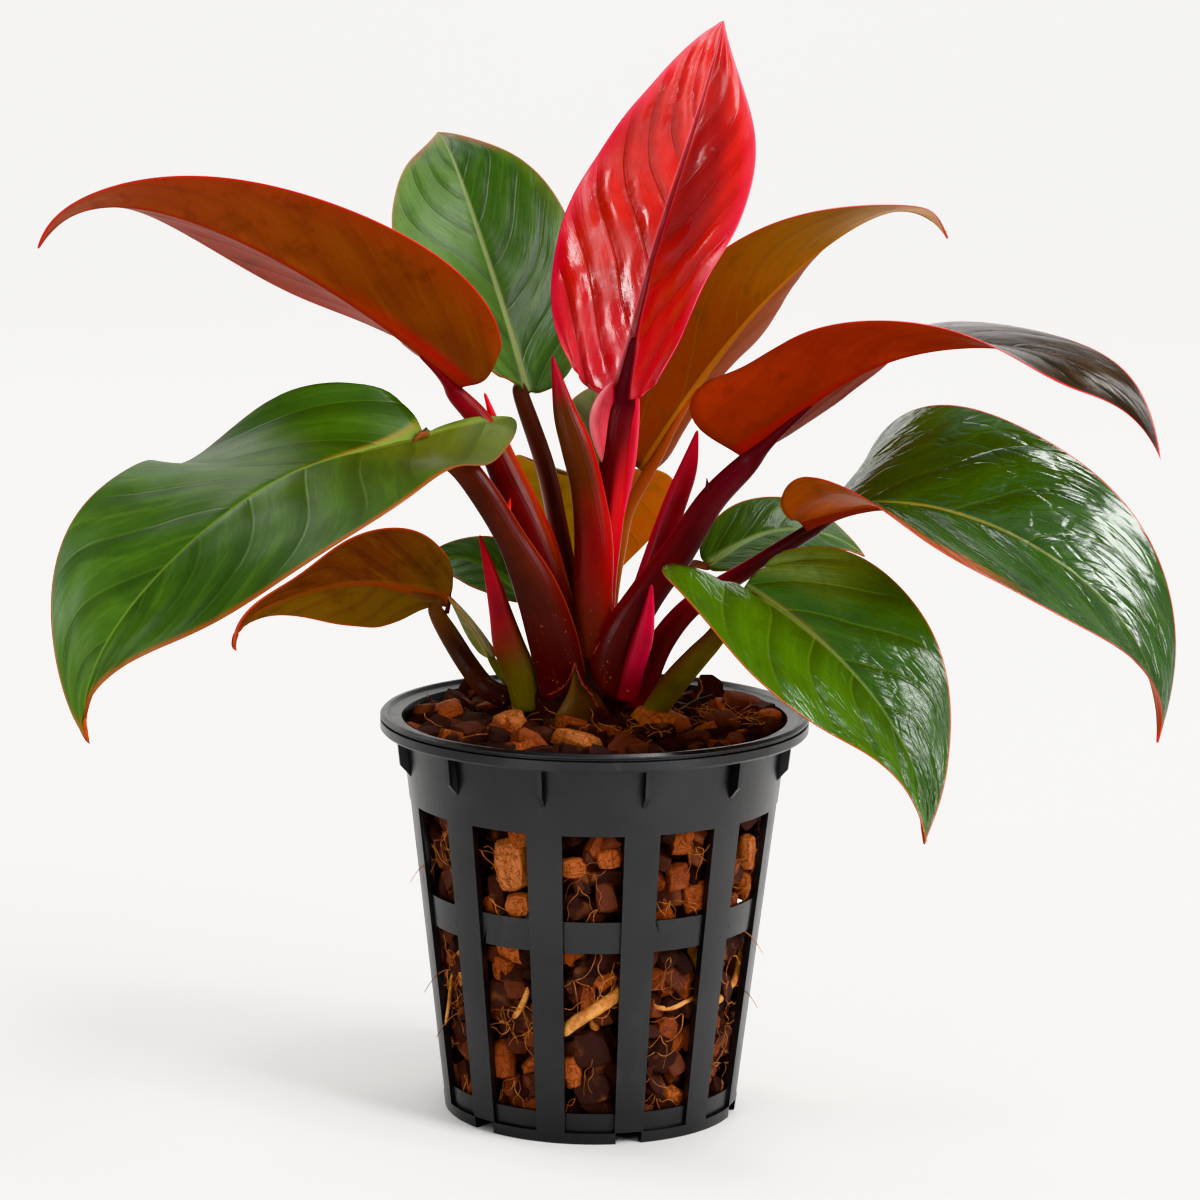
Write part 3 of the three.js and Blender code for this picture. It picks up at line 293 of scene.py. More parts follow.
class Finish:
    """A material being made from nodes: a skin of one colour that takes coats of others."""

    def __init__(self, name, code=None):
        self.material = bpy.data.materials.new(name)
        self.material.use_nodes = True
        self.tree = self.material.node_tree
        self.tree.nodes.clear()
        self.skin = code and tint(code)

    def node(self, kind, settings=None, values=None, output=0):
        made = self.tree.nodes.new(kind)
        for key, value in (settings or {}).items():
            if key == "stops":
                ramp = made.color_ramp
                while len(ramp.elements) < len(value):
                    ramp.elements.new(0.5)
                for element, (place, colour) in zip(ramp.elements, value):
                    element.position = place
                    element.color = colour
            else:
                setattr(made, key, value)
        for key, value in (values or {}).items():
            if isinstance(value, Signal):
                self.tree.links.new(value.socket, made.inputs[key])
            else:
                made.inputs[key].default_value = value
        return Signal(self, made.outputs[output])

    def mix(self, factor, first, second):
        settings = {"data_type": "RGBA", "clamp_factor": True}
        return self.node("ShaderNodeMix", settings, {0: factor, 6: first, 7: second}, output=2)

    def place(self):
        return self.node("ShaderNodeTexCoord", output="Object")

    def map(self, name):
        return self.node("ShaderNodeUVMap", {"uv_map": name})

    def split(self, vector):
        values = {0: vector}
        return [self.node("ShaderNodeSeparateXYZ", None, values, output=axis) for axis in range(3)]

    def vector(self, x, y, z=0.0):
        return self.node("ShaderNodeCombineXYZ", None, {0: x, 1: y, 2: z})

    def attribute(self, name):
        return self.node("ShaderNodeAttribute", {"attribute_name": name}, output="Fac")

    def noise(self, vector, scale, detail=2, rough=0.5, warp=0.0, output="Fac"):
        values = {"Vector": vector, "Scale": scale, "Detail": detail, "Roughness": rough,
                  "Distortion": warp}
        return self.node("ShaderNodeTexNoise", None, values, output=output)

    def cracks(self, vector, scale):
        """The distance to the borders of random cells."""
        values = {"Vector": vector, "Scale": scale}
        return self.node("ShaderNodeTexVoronoi", {"feature": "DISTANCE_TO_EDGE"}, values, output="Distance")

    def stretch(self, vector, scale):
        return self.node("ShaderNodeMapping", None, {"Vector": vector, "Scale": scale})

    def ramp(self, factor, *stops):
        return self.node("ShaderNodeValToRGB", {"stops": stops}, {"Fac": factor})

    def coat(self, mask, code, share=1):
        self.skin = self.mix(mask, self.skin, tint(code, share))

    def lay(self, patches, **measures):
        """Add coats that show where their measures rise between their bounds."""
        for code, mask, *bounds in patches:
            for measure, low, high in bounds:
                mask = measures[measure].rise(low, high) * mask
            self.coat(mask, code)

    def bump(self, height, strength, distance):
        values = {"Height": height, "Strength": strength, "Distance": distance}
        return self.node("ShaderNodeBump", None, values, output="Normal")

    def close(self, rough, relief=None, specular=0.5):
        """End with a shader; relief is a height, its strength and its distance."""
        values = {"Base Color": self.skin, "Roughness": rough, "Specular IOR Level": specular}
        if relief:
            values["Normal"] = self.bump(*relief)
        shader = self.node("ShaderNodeBsdfPrincipled", None, values, output="BSDF")
        end = self.tree.nodes.new("ShaderNodeOutputMaterial")
        self.tree.links.new(shader.socket, end.inputs["Surface"])
        return self.material


# Making meshes

def lay_down():
    """Leave edit mode with nothing selected."""
    if bpy.context.object and bpy.context.object.mode != "OBJECT":
        bpy.ops.object.mode_set(mode="OBJECT")
    bpy.ops.object.select_all(action="DESELECT")


def take(piece):
    lay_down()
    piece.select_set(True)
    bpy.context.view_layer.objects.active = piece


def named(name):
    piece = bpy.context.active_object
    piece.name = name
    piece.data.name = name
    return piece


def shape_with(piece, kind, **settings):
    """Add a modifier with these settings and apply it."""
    take(piece)
    modifier = piece.modifiers.new(kind, kind)
    for key, value in settings.items():
        setattr(modifier, key, value)
    bpy.ops.object.modifier_apply(modifier=modifier.name)


def points_of(piece):
    flat = np.empty(len(piece.data.vertices) * 3)
    piece.data.vertices.foreach_get("co", flat)
    return flat.reshape(-1, 3)


def put_points(piece, points):
    piece.data.vertices.foreach_set("co", np.ascontiguousarray(points, float).ravel())
    piece.data.update()


def patch(name, across, along):
    """A grid whose x and y both run from 0 to 1, with its own map of them."""
    lay_down()
    bpy.ops.mesh.primitive_grid_add(x_subdivisions=across, y_subdivisions=along, size=1,
                                    location=(0.5, 0.5, 0))
    bpy.ops.object.transform_apply(location=True)
    piece = named(name)
    piece.data.uv_layers[0].name = "surface"
    return piece


@contextmanager
def editing():
    """Edit mode, with all of the mesh selected."""
    bpy.ops.object.mode_set(mode="EDIT")
    bpy.ops.mesh.select_all(action="SELECT")
    yield
    bpy.ops.object.mode_set(mode="OBJECT")


def weld(piece, reach, outward=False):
    take(piece)
    with editing():
        bpy.ops.mesh.remove_doubles(threshold=reach)
        if outward:
            bpy.ops.mesh.normals_make_consistent(inside=False)


def smooth(piece, degrees=None):
    take(piece)
    if degrees is None:
        bpy.ops.object.shade_smooth()
    else:
        bpy.ops.object.shade_smooth_by_angle(angle=math.radians(degrees))


def join(name, pieces):
    lay_down()
    for piece in pieces:
        piece.select_set(True)
    bpy.context.view_layer.objects.active = pieces[0]
    bpy.ops.object.join()
    return named(name)


def mark(piece, name, values):
    """Keep a number at each vertex."""
    layer = piece.data.attributes.new(name, "FLOAT", "POINT")
    layer.data.foreach_set("value", np.array(np.broadcast_to(values, len(piece.data.vertices)), float))


def hand_over(piece, slot, *nodes):
    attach(piece, "root")
    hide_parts(*nodes)


def paint(piece, *materials):
    piece.data.materials.clear()
    for material in materials:
        piece.data.materials.append(material)


def on_ring(radius, angle, z):
    return radius * math.cos(angle), radius * math.sin(angle), z


def unit(vectors):
    return vectors / np.linalg.norm(vectors, axis=-1, keepdims=True)


def bezier(values, t):
    """The curve with these control values, at each t."""
    rows = np.repeat(np.asarray(values, float)[:, None], len(t), axis=1)
    step = t.reshape((-1,) + (1,) * (rows.ndim - 2))
    while len(rows) > 1:
        rows = rows[:-1] + (rows[1:] - rows[:-1]) * step
    return rows[0]


def through(rows, t):
    """The smooth curve through these rows, at each t from 0 to 1."""
    rows = np.asarray(rows, float)
    rows = np.vstack([2 * rows[0] - rows[1], rows, 2 * rows[-1] - rows[-2]])
    place = np.clip(t, 0, 1) * (len(rows) - 3)
    first = np.minimum(place.astype(int), len(rows) - 4)
    s = (place - first)[:, None]
    before, start, stop, after = (rows[first + i] for i in range(4))
    leave = (stop - before) / 2
    arrive = (after - start) / 2
    return (start + leave * s + (3 * (stop - start) - 2 * leave - arrive) * s ** 2
            + (2 * (start - stop) + leave + arrive) * s ** 3)


# Camera, floor and light

SENSOR_WIDTH = 36
PHOTO_WIDTH = 1200
FOCAL_LENGTH = 4035  # in pixels of the photo
FLOOR_FRONT, FLOOR_BACK, FLOOR_WIDTH = -3, 2.6, 12  # in metres, like the rest of the floor
BEND_RADIUS = 1.2
BACKDROP_HEIGHT = 3


def camera():
    lay_down()
    bpy.ops.object.camera_add(location=(0, -1.2, 0.364))
    eye = named("camera")
    eye.data.sensor_width = SENSOR_WIDTH
    eye.data.lens = SENSOR_WIDTH * FOCAL_LENGTH / PHOTO_WIDTH
    eye.data.clip_start = 0.05
    eye.data.clip_end = 50
    yaw, tilt, roll = -0.001, math.pi / 2 - 0.171, 0.012
    turn = Matrix.Rotation(yaw, 4, "Z") @ Matrix.Rotation(tilt, 4, "X") @ Matrix.Rotation(roll, 4, "Z")
    eye.rotation_euler = turn.to_euler()
    bpy.context.scene.camera = eye


def floor_sweep():
    """A floor over half of its grid, then a bend and a backdrop, a quarter each."""
    floor = patch("floor_sweep", 1, 60)
    flat = points_of(floor)
    along = flat[:, 1]
    level = FLOOR_FRONT + along * 2 * (FLOOR_BACK - FLOOR_FRONT)
    bend = np.clip((along - 0.5) / 0.25, 0, 1) * math.pi / 2
    y = np.where(along < 0.5, level, FLOOR_BACK + BEND_RADIUS * np.sin(bend))
    z = np.where(along < 0.5, 0, BEND_RADIUS * (1 - np.cos(bend)))
    z += np.clip(along - 0.75, 0, 1) * 4 * BACKDROP_HEIGHT
    put_points(floor, np.stack([(flat[:, 0] - 0.5) * FLOOR_WIDTH, y, z], axis=1))
    smooth(floor)
    finish = Finish("pale_floor", "eeece9")
    finish.coat(finish.noise(finish.place(), 1.4, detail=3), "f6f5f3")
    paint(floor, finish.close(0.6, specular=0.3))


def soft_box(name, place, aim, width, height, power, colour=(1, 1, 1)):
    lay_down()
    bpy.ops.object.light_add(type="AREA", location=place)
    lamp = bpy.context.active_object
    lamp.name = name
    lamp.data.shape = "RECTANGLE"
    lamp.data.size = width
    lamp.data.size_y = height
    lamp.data.energy = power
    lamp.data.color = colour
    lamp.rotation_euler = (Vector(aim) - Vector(place)).to_track_quat("-Z", "Y").to_euler()


def lights():
    bpy.context.scene.view_settings.view_transform = "Khronos PBR Neutral"
    bpy.context.scene.view_settings.exposure = 0.12
    world = bpy.data.worlds.new("studio")
    bpy.context.scene.world = world
    world.use_nodes = True
    sky = world.node_tree.nodes["Background"]
    sky.inputs["Color"].default_value = (0.95, 0.97, 1, 1)
    sky.inputs["Strength"].default_value = 0.6
    soft_box("light_upper_right", (1.33, -0.86, 1.18), (0.13, -0.02, 0.17), 0.8, 0.8, 28)
    soft_box("light_low_left", (-0.91, -1.27, 0.33), (0.02, 0.01, 0.27), 0.17, 0.3, 4.6)
    soft_box("light_low_right", (1.15, -1.1, 0.3), (0.02, 0, 0.2), 0.26, 0.5, 3.5)
    soft_box("light_over", (0.6, -0.22, 1.53), (0.09, -0.07, 0.13), 0.4, 0.4, 8)
    soft_box("light_behind_left", (-1.1, 1.2, 1.25), (0, 0, 0.2), 0.9, 0.9, 8, (1, 0.97, 0.92))
    soft_box("light_backdrop", (0, 1.2, 2.6), (0, 3.4, 0.9), 3.0, 0.8, 60)


camera()
floor_sweep()
lights()


# Blades

LOBE_REACH = 0.3  # the share of the rib beside which the base draws back and in
CROWDING = 0.12  # how far the columns of a blade's grid crowd at its rib and its margins
DENT_DEPTH = 0.18
GROOVE_WIDTH = 1.3
RIDGE_WIDTH = 1.5
RIB_THICKNESS = 2.6


def vein_phase(t, across, side, count, lean, sine):
    """Whole numbers fall on the side veins; works on numbers and on shader values alike."""
    sway = sine(t * 11 + across * 3.4 + side * 2.6) * 0.12
    return (t - across ** 1.15 * lean) * count + side * 0.5 + sway


def rib_frame(leaf, t):
    """The rib's direction and the way that the blade faces, at each t."""
    step = 1e-4
    tangent = unit(bezier(leaf["spine"], t + step) - bezier(leaf["spine"], t - step))
    up = bezier(leaf["face"], t)
    return tangent, unit(up - tangent * np.sum(up * tangent, axis=1, keepdims=True))


def blade_place(leaf, t, v):
    """The points of a blade at t along its rib and v across it, and the blade's half width there."""
    tangent, up = rib_frame(leaf, t)
    side = np.cross(tangent, up)
    across = np.abs(v)

    def of_half(left, right):
        return np.where(v < 0, left, right)

    width = of_half(bezier([*leaf["left"], 0], t), bezier([*leaf["right"], 0], t))
    fold = np.radians(bezier(leaf["fold"], t))
    bend = np.radians(of_half(bezier(leaf["curl_left"], t), bezier(leaf["curl_right"], t)))
    curl = np.where(np.abs(bend) < 1e-4, 1e-4, bend)
    near = np.maximum(0, 1 - t / LOBE_REACH) ** 2
    swell = of_half(*leaf["inner"]) * near * np.sin(math.pi * across)
    out = width * (np.sin(fold + curl * across) - np.sin(fold)) / curl - swell
    height, count, phase = leaf["wave"]
    ripple = height * np.sin(math.pi * t) * np.sin(2 * math.pi * (count * t + phase + 0.25 * of_half(0, 1)))
    rise = width * (np.cos(fold) - np.cos(fold + curl * across)) / curl + ripple * across ** 2
    back = of_half(*leaf["lobes"]) * near * (1 - np.cos(math.pi * across)) / 2
    points = (bezier(leaf["spine"], t) + side * (np.sign(v) * out)[:, None] + up * rise[:, None]
              - tangent * back[:, None])
    return points, width


def blade_normal(leaf, t, v):
    step = 0.01

    def place(t, v):
        return blade_place(leaf, t, v)[0]

    across = place(t, np.minimum(1, v + step)) - place(t, np.maximum(-1, v - step))
    along = place(np.minimum(0.999, t + step), v) - place(np.maximum(0, t - step), v)
    return unit(np.cross(across, along))


def blade(name, look, *finishes):
    """A sheet on the blade's formula, quilted between its veins, with a thickness and a raised rib below."""
    leaf = BLADES[name]
    piece = patch("leaf_" + name, *look.get("grid", FINE_GRID))
    flat = points_of(piece)
    v = 2 * flat[:, 0] - 1
    v = v - CROWDING * np.sin(2 * math.pi * v)
    start = np.where(v < 0, *leaf["round"]) * (1 - np.sqrt(np.clip(1 - v ** 2, 0, 1)))
    t = start + (1 - start) * flat[:, 1] * (1.2 - 0.2 * flat[:, 1])
    points, width = blade_place(leaf, t, v)
    normal = blade_normal(leaf, np.minimum(t, 0.985), v)
    across = np.abs(v)
    side = np.where(v < 0, 0, 1)
    from_rib = across * width
    phase = vein_phase(t, across, side, look["veins"], look["lean"], np.sin)
    pillow = np.sin(math.pi * (phase % 1) ** 0.75) ** 0.8
    uneven = 0.7 + 0.3 * np.sin(phase * 2.3 + across * 5 + t * 4)
    inside = np.clip(across * 7, 0, 1) * np.clip((1 - across) * 3.5, 0, 1) * np.clip((1 - t) * 6, 0, 1)
    dents = DENT_DEPTH * np.sin(t * 27 + across * 8 + side) * np.sin(across * 11 - t * 9)
    relief = look["quilt"] * ((pillow - 0.6) * uneven + dents) * inside
    relief -= look["groove"] * np.exp(-(from_rib / GROOVE_WIDTH) ** 2) * (1 - t)
    put_points(piece, (points + normal * relief[:, None]) * MM)
    reach = piece.data.uv_layers.new(name="reach")
    loops = np.empty(len(piece.data.loops), int)
    piece.data.loops.foreach_get("vertex_index", loops)
    reach.data.foreach_set("uv", np.stack([from_rib, (1 - across) * width], axis=1)[loops].ravel())
    surface = piece.data.uv_layers["surface"]
    surface.data.foreach_set("uv", np.stack([v / 2 + 0.5, t], axis=1)[loops].ravel())
    thickness = piece.vertex_groups.new(name="thickness")
    rib = np.exp(-(from_rib / RIDGE_WIDTH) ** 2) * (1 - t) ** 0.8 * look.get("ridge", 1)
    body = np.clip((1 - across) * 4, 0, 1)
    for i, share in enumerate(np.clip(0.12 + 0.16 * body + 0.72 * rib, 0, 1)):
        thickness.add([i], float(share), "REPLACE")
    weld(piece, 2e-5)
    paint(piece, *finishes)
    shape_with(piece, "SOLIDIFY", thickness=RIB_THICKNESS * MM, offset=-1, vertex_group="thickness",
               thickness_vertex_group=0, material_offset=1, material_offset_rim=2, use_even_offset=False)
    piece.vertex_groups.clear()
    smooth(piece)
    hand_over(piece, look["slot"], "blade_" + name)


def blade_finish(name, body, shade, vein, rib, margin, veins, lean, light=None, gloss=0.24, specular=0.5,
                 vein_strength=0.2, rib_width=0.8, rib_foot=2.0, rib_side=None, rib_fade=0.5,
                 margin_width=0.6, wrinkle=1.0, net=0.0, dull=0.0, vein_shade=0.3, patches=(), under=False):
    """The skin of one side of a blade."""
    finish = Finish(name, body)
    u, t, _ = finish.split(finish.map("surface"))
    from_rib, to_edge, _ = finish.split(finish.map("reach"))
    side = u.rise(0.499, 0.501)
    across = abs(u * 2 - 1)
    place = finish.place()
    cloud = finish.noise(place, 28, detail=3, rough=0.55)
    fleck = finish.noise(place, 420, detail=3, rough=0.6)
    mottle = finish.noise(place, 110, detail=4, rough=0.65)
    phase = vein_phase(t, across, side, veins, lean, Signal.sine)
    along_veins = finish.vector(phase * 4.5, across * 2.2, side * 7)
    streaks = finish.noise(along_veins, 1.3, detail=4, rough=0.62, warp=0.5)
    from_vein = phase.beat(0.5) * 2
    past_vein = phase.math("FRACT", phase)
    finish.coat(cloud.rise(0.35, 0.68), shade)
    # Lighter pillows between the veins, broken by streaks: painted sheen.
    if light:
        finish.coat(from_vein.rise(0.05, 0.9) * streaks.rise(0.38, 0.72) * 0.6, light)
    finish.lay(patches, u=u, t=t, across=across, cloud=cloud, from_rib=from_rib, to_edge=to_edge)
    finish.coat(mottle.rise(0.5, 0.72) * (0.45 if under else 0.25), shade, 0.45)
    # A darker band just past each vein, on one side of it: painted shade.
    finish.coat(past_vein.rise(0.4, 0.04) * across.rise(1.0, 0.75) * vein_shade, shade, 0.45)
    line = (1 - from_vein.rise(0, 0.1)) * across.rise(0.98, 0.7)
    finish.coat(line * vein_strength, vein)
    finish.coat(fleck.rise(0.35, 0.75) * 0.12, shade)
    foot = (1 - t * 3.5).most(0)
    beside = from_rib / (foot * foot * (rib_foot - rib_width) + (1.15 - t) * rib_width)
    strength = 0.95 - t.rise(0.1, 0.65) * rib_fade
    finish.coat(beside.rise(2.0, 1.1) * strength * 0.45, rib_side or vein)
    finish.coat(beside.rise(1.1, 0.75) * strength, rib)
    finish.coat(to_edge.rise(margin_width, margin_width * 0.35) * t.rise(0.01, 0.05) * 0.9, margin)
    height = streaks * wrinkle + fleck * 0.1 + line * (0.3 if under else -0.5)
    if net:
        cells = finish.cracks(finish.vector(phase * 3.4, across * 8, side * 9), 1)
        height = height + cells.rise(0, 0.2) * net
    rough = gloss + fleck * 0.05 + cloud * 0.05 + beside.rise(1.3, 0.9) * 0.3
    if dull:
        rough = rough + finish.noise(place, 62, detail=3, warp=0.4).rise(0.62, 0.38) * dull
    return finish.close(rough, (height, 0.3, 0.001), specular)


def edge_finish(name, colour, base):
    """The skin of a blade's rim; base is its colour in the notch where the stalk joins."""
    finish = Finish(name, colour)
    from_rib, _, _ = finish.split(finish.map("reach"))
    _, t, _ = finish.split(finish.map("surface"))
    finish.coat(finish.noise(finish.place(), 120).rise(0.4, 0.7), colour, 0.6)
    finish.coat(from_rib.rise(6, 3) * t.rise(0.2, 0.05), base)
    return finish.close(0.35)


# Looks of the blades. A patch is a colour, its share, and the measures between whose bounds it rises;
# where the first bound is the larger it falls instead.

GREEN = dict(body="35540e", shade="243f09", light="4f761f", vein="6f8c38", rib="7c8a34", margin="a84c1c")
BROWN = dict(body="86400c", shade="6f3208", vein="7a2c10", rib="8a2412", margin="c81c1a",
             vein_strength=0.14, gloss=0.5, specular=0.16, wrinkle=0.4, vein_shade=0.1, rib_fade=0.3, under=True)
DULL = dict(body="5d5a2c", shade="6e4a24", vein="7c6a3c", rib="7c4a2c", margin="a5401c", gloss=0.45,
            specular=0.2, wrinkle=0.4, vein_shade=0.1, under=True)
FINE_GRID = (48, 96)
SMALL_GRID = (28, 48)
LEFT_HALF = ("u", 0.53, 0.45)
RIGHT_HALF = ("u", 0.47, 0.55)
BLADE_LOOKS = {
    "crimson_top": dict(
        # The pale pink rim colour is partly the margin's own, partly painted highlight.
        veins=7, lean=0.4, quilt=1.5, groove=0.2, slot="crimson", edge="f0566c",
        top=dict(body="ce1c12", shade="ac120c", light="d22a1c", vein="8c0c0a", rib="7c0912",
                 rib_side="e8606a", rib_width=1.2, rib_foot=2.3, rib_fade=0.0, margin="ea1c44",
                 margin_width=1.3, gloss=0.1, specular=0.62, wrinkle=0.3, dull=0.24, vein_shade=0.35, patches=[
                     ("8c0c08", 0.85, ("u", 0.49, 0.56), ("u", 0.88, 0.7), ("t", 0.24, 0.42)),
                     ("e21c3c", 0.75, ("across", 0.74, 1)), ("e0243a", 0.6, ("t", 0.3, 0.02)),
                     ("c0101c", 0.6, ("t", 0.86, 0.97)),
                     ("4a0810", 1, ("from_rib", 2.4, 1), ("t", 0.16, 0.02))]),
        under=dict(DULL, body="b8202c", shade="951a22", vein="7c1018", rib="6a0c12", margin="d81a30")),
    "back": dict(
        veins=7, lean=0.34, quilt=0.7, groove=0.5, slot="green_leaf",
        top=dict(GREEN, body="34560f", shade="26440c", light="4c7224", vein="6a8440", rib="8e9860",
                 rib_side="6c8050", rib_width=1.0, rib_foot=1.7, rib_fade=0.35, margin="a8643c", gloss=0.34,
                 specular=0.4, vein_shade=0.4, patches=[
                     # The lighter left half is painted sheen.
                     ("5c7c30", 0.45, LEFT_HALF), ("6c7c2e", 0.4, ("across", 0.75, 1)),
                     ("8c5030", 0.8, ("to_edge", 3.5, 0.4), ("cloud", 0.42, 0.6), ("t", 0.4, 0.7)),
                     ("84843a", 0.4, ("t", 0.8, 1))]),
        under=DULL),
    "upper_left": dict(
        veins=7, lean=0.3, quilt=0.25, groove=0.3, slot="red_brown_leaf", ridge=0.35,
        top=dict(GREEN, margin="b02418"),
        under=dict(BROWN, body="7a360e", shade="6a2a0a", light="82420f", specular=0.15, patches=[
            ("8e2f1c", 1, ("u", 0.47, 0.53)), ("84341f", 0.8, ("t", 0.25, 0.8)),
            # The pale patch towards the tip is painted sheen.
            ("a05c46", 0.6, ("t", 0.66, 0.86)), ("8c2a16", 0.5, ("across", 0.6, 1)),
            ("b0100e", 1, ("from_rib", 7, 2), ("t", 0.4, 0.05))])),
    "left": dict(
        veins=7, lean=0.3, quilt=0.8, groove=0.6, slot="green_leaf", ridge=0.4,
        top=dict(GREEN, body="345310", shade="28450b", light="486a1c", gloss=0.4, specular=0.35, rib="6c8036",
                 rib_width=0.6, rib_foot=1.2, vein_shade=0.45, margin="8c4a1a", margin_width=0.5, wrinkle=0.5,
                 vein_strength=0.11, patches=[
                     ("a8602a", 0.85, ("from_rib", 2.2, 0.8), ("t", 0.35, 0.02)),
                     ("b04a20", 0.7, ("to_edge", 2.4, 0.3), ("u", 0.45, 0.4), ("t", 0.1, 0.25)),
                     # The greyer patch on the upper half by the base is painted sheen.
                     ("66692f", 0.55, ("u", 0.52, 0.45), ("t", 0.3, 0.06)), ("8a5a14", 1, ("t", 0.93, 1))]),
        under=DULL),
    "low_left": dict(
        veins=6, lean=0.3, quilt=0.35, groove=0.3, slot="red_brown_leaf", ridge=0.4,
        top=GREEN,
        under=dict(BROWN, body="612c07", shade="4e1e04", light="74440b", vein="7c4a1e", rib="7c3414",
                   margin="c43a1c", vein_shade=0.25, patches=[
                       ("6c500a", 0.6, RIGHT_HALF), ("74560e", 0.4, ("t", 0.3, 0)),
                       ("a8403a", 1, ("t", 0.85, 0.95))])),
    "upper_right": dict(
        veins=7, lean=0.3, quilt=0.3, groove=0.3, slot="red_brown_leaf", ridge=0.35,
        top=dict(GREEN, body="7a4a10", shade="6e3c0c", light="8a5618", margin="b02418"),
        under=dict(BROWN, body="8a5a16", shade="7a4a10", light="9c6a2a", vein="9a6428", rib="a4602a",
                   margin="a83a1c", rib_side="6a3a0c", vein_shade=0.2, specular=0.05, patches=[
                       ("7a2206", 0.9, ("t", 0.6, 0.08)), ("c89a6c", 0.85, ("t", 0.45, 0.9)),
                       ("84320e", 0.8, ("u", 0.52, 0.47))])),
    "right_long": dict(
        veins=6, lean=0.3, quilt=0.45, groove=0.4, slot="red_brown_leaf", ridge=0.4,
        top=dict(GREEN, body="33281a", shade="221a10", light="4e3a2c", vein="5a3c30", rib="2e2018",
                 margin="c82a30", gloss=0.12, specular=0.35, vein_strength=0.12, wrinkle=0.6, vein_shade=0.4),
        under=dict(BROWN, body="92301a", shade="7e2410", light="9c3a24", vein="6a1c08", rib="8a1a10",
                   margin="a82414", specular=0.05, patches=[
                       ("8f3008", 0.5, ("t", 0.25, 0)), ("7a1a0c", 0.4, RIGHT_HALF)])),
    "right": dict(
        veins=6, lean=0.34, quilt=1.2, groove=0.7, slot="green_leaf",
        top=dict(GREEN, body="264508", shade="1a3405", light="365a14", vein="54742c", rib="988a30",
                 rib_fade=0.75, margin="b8301c", gloss=0.12, specular=0.85, wrinkle=0.75, net=0.4,
                 rib_foot=1.3, rib_width=0.7, vein_shade=0.3, patches=[
                     # The greyer light patches by the base are painted sheen.
                     ("56743e", 0.35, ("cloud", 0.3, 0.6), ("t", 0.6, 0.25)),
                     ("9a4420", 1, ("u", 0.5, 0.52), ("across", 0.8, 0.88), ("t", 0.6, 0.4))]),
        under=dict(BROWN, body="964306", shade="863404", light="a8541c", rib="6a1c0c", rib_width=1.4)),
    "front_right": dict(
        veins=6, lean=0.34, quilt=1.0, groove=0.6, slot="green_leaf",
        top=dict(GREEN, body="2b4a0b", shade="1e3a07", light="3e621a", rib="4c5c22", rib_width=0.5,
                 gloss=0.18, rib_foot=1.1, rib_fade=0.6, specular=0.55, wrinkle=0.9, net=0.25, vein_shade=0.35,
                 patches=[
                     ("26420a", 0.5, LEFT_HALF), ("4a7216", 0.4, ("u", 0.5, 0.75)),
                     ("7c8a44", 0.6, ("u", 0.4, 0.2), ("t", 0.3, 0.1)),
                     ("7a4e20", 0.7, ("from_rib", 2, 0.8), ("t", 0.4, 0.1))]),
        under=DULL),
    "back_right_small": dict(
        veins=5, lean=0.34, quilt=0.5, groove=0.4, slot="green_leaf", grid=SMALL_GRID,
        top=dict(GREEN, body="375c1c", shade="284814", vein="86a464", rib="8aa064", vein_strength=0.35),
        under=DULL),
    "back_left_small": dict(
        veins=5, lean=0.34, quilt=0.4, groove=0.4, slot="green_leaf", grid=SMALL_GRID,
        top=dict(GREEN, body="3c5a26", shade="30481c", rib="4e6c30", gloss=0.4, specular=0.3),
        under=DULL),
    "yellowing": dict(
        veins=6, lean=0.3, quilt=0.3, groove=0.3, slot="yellow_leaf", grid=SMALL_GRID, ridge=0.5,
        top=dict(GREEN, body="8a7a14", shade="7a5c10", light="98861c"),
        under=dict(BROWN, body="c8960a", shade="ba8408", light="d0a418", vein="a8640c", rib="a06018",
                   margin="b86a14", patches=[("be5a0a", 1, ("u", 0.45, 0.55))])),
    "olive_behind": dict(
        veins=5, lean=0.34, quilt=0.4, groove=0.4, slot="olive_leaf", grid=SMALL_GRID,
        top=dict(GREEN, body="565612", shade="44440e", light="64641c", vein="6a6a2c", rib="7a7434",
                 vein_strength=0.15, gloss=0.4, specular=0.3),
        under=DULL),
    "foot_small": dict(
        veins=4, lean=0.34, quilt=0.2, groove=0.2, slot="green_leaf", grid=SMALL_GRID,
        top=dict(GREEN, body="7c7e4a", shade="64683a", light="9a9a6c", vein="9a9a68", rib="98945c",
                 margin="9c7a40"),
        under=dict(DULL, body="989a6c", shade="787c50", vein="b0b08c", light="b8b890", gloss=0.3,
                   specular=0.5)),
}


def make_blades():
    for name, look in BLADE_LOOKS.items():
        layout = {"veins": look["veins"], "lean": look["lean"]}
        top = blade_finish(name + "_face", **layout, **look["top"])
        under = blade_finish(name + "_underside", **layout, **look["under"])
        edge = edge_finish(name + "_edge", look.get("edge", look["top"]["margin"]), look["top"]["shade"])
        blade(name, look, top, under, edge)


# Stalks and sheaths

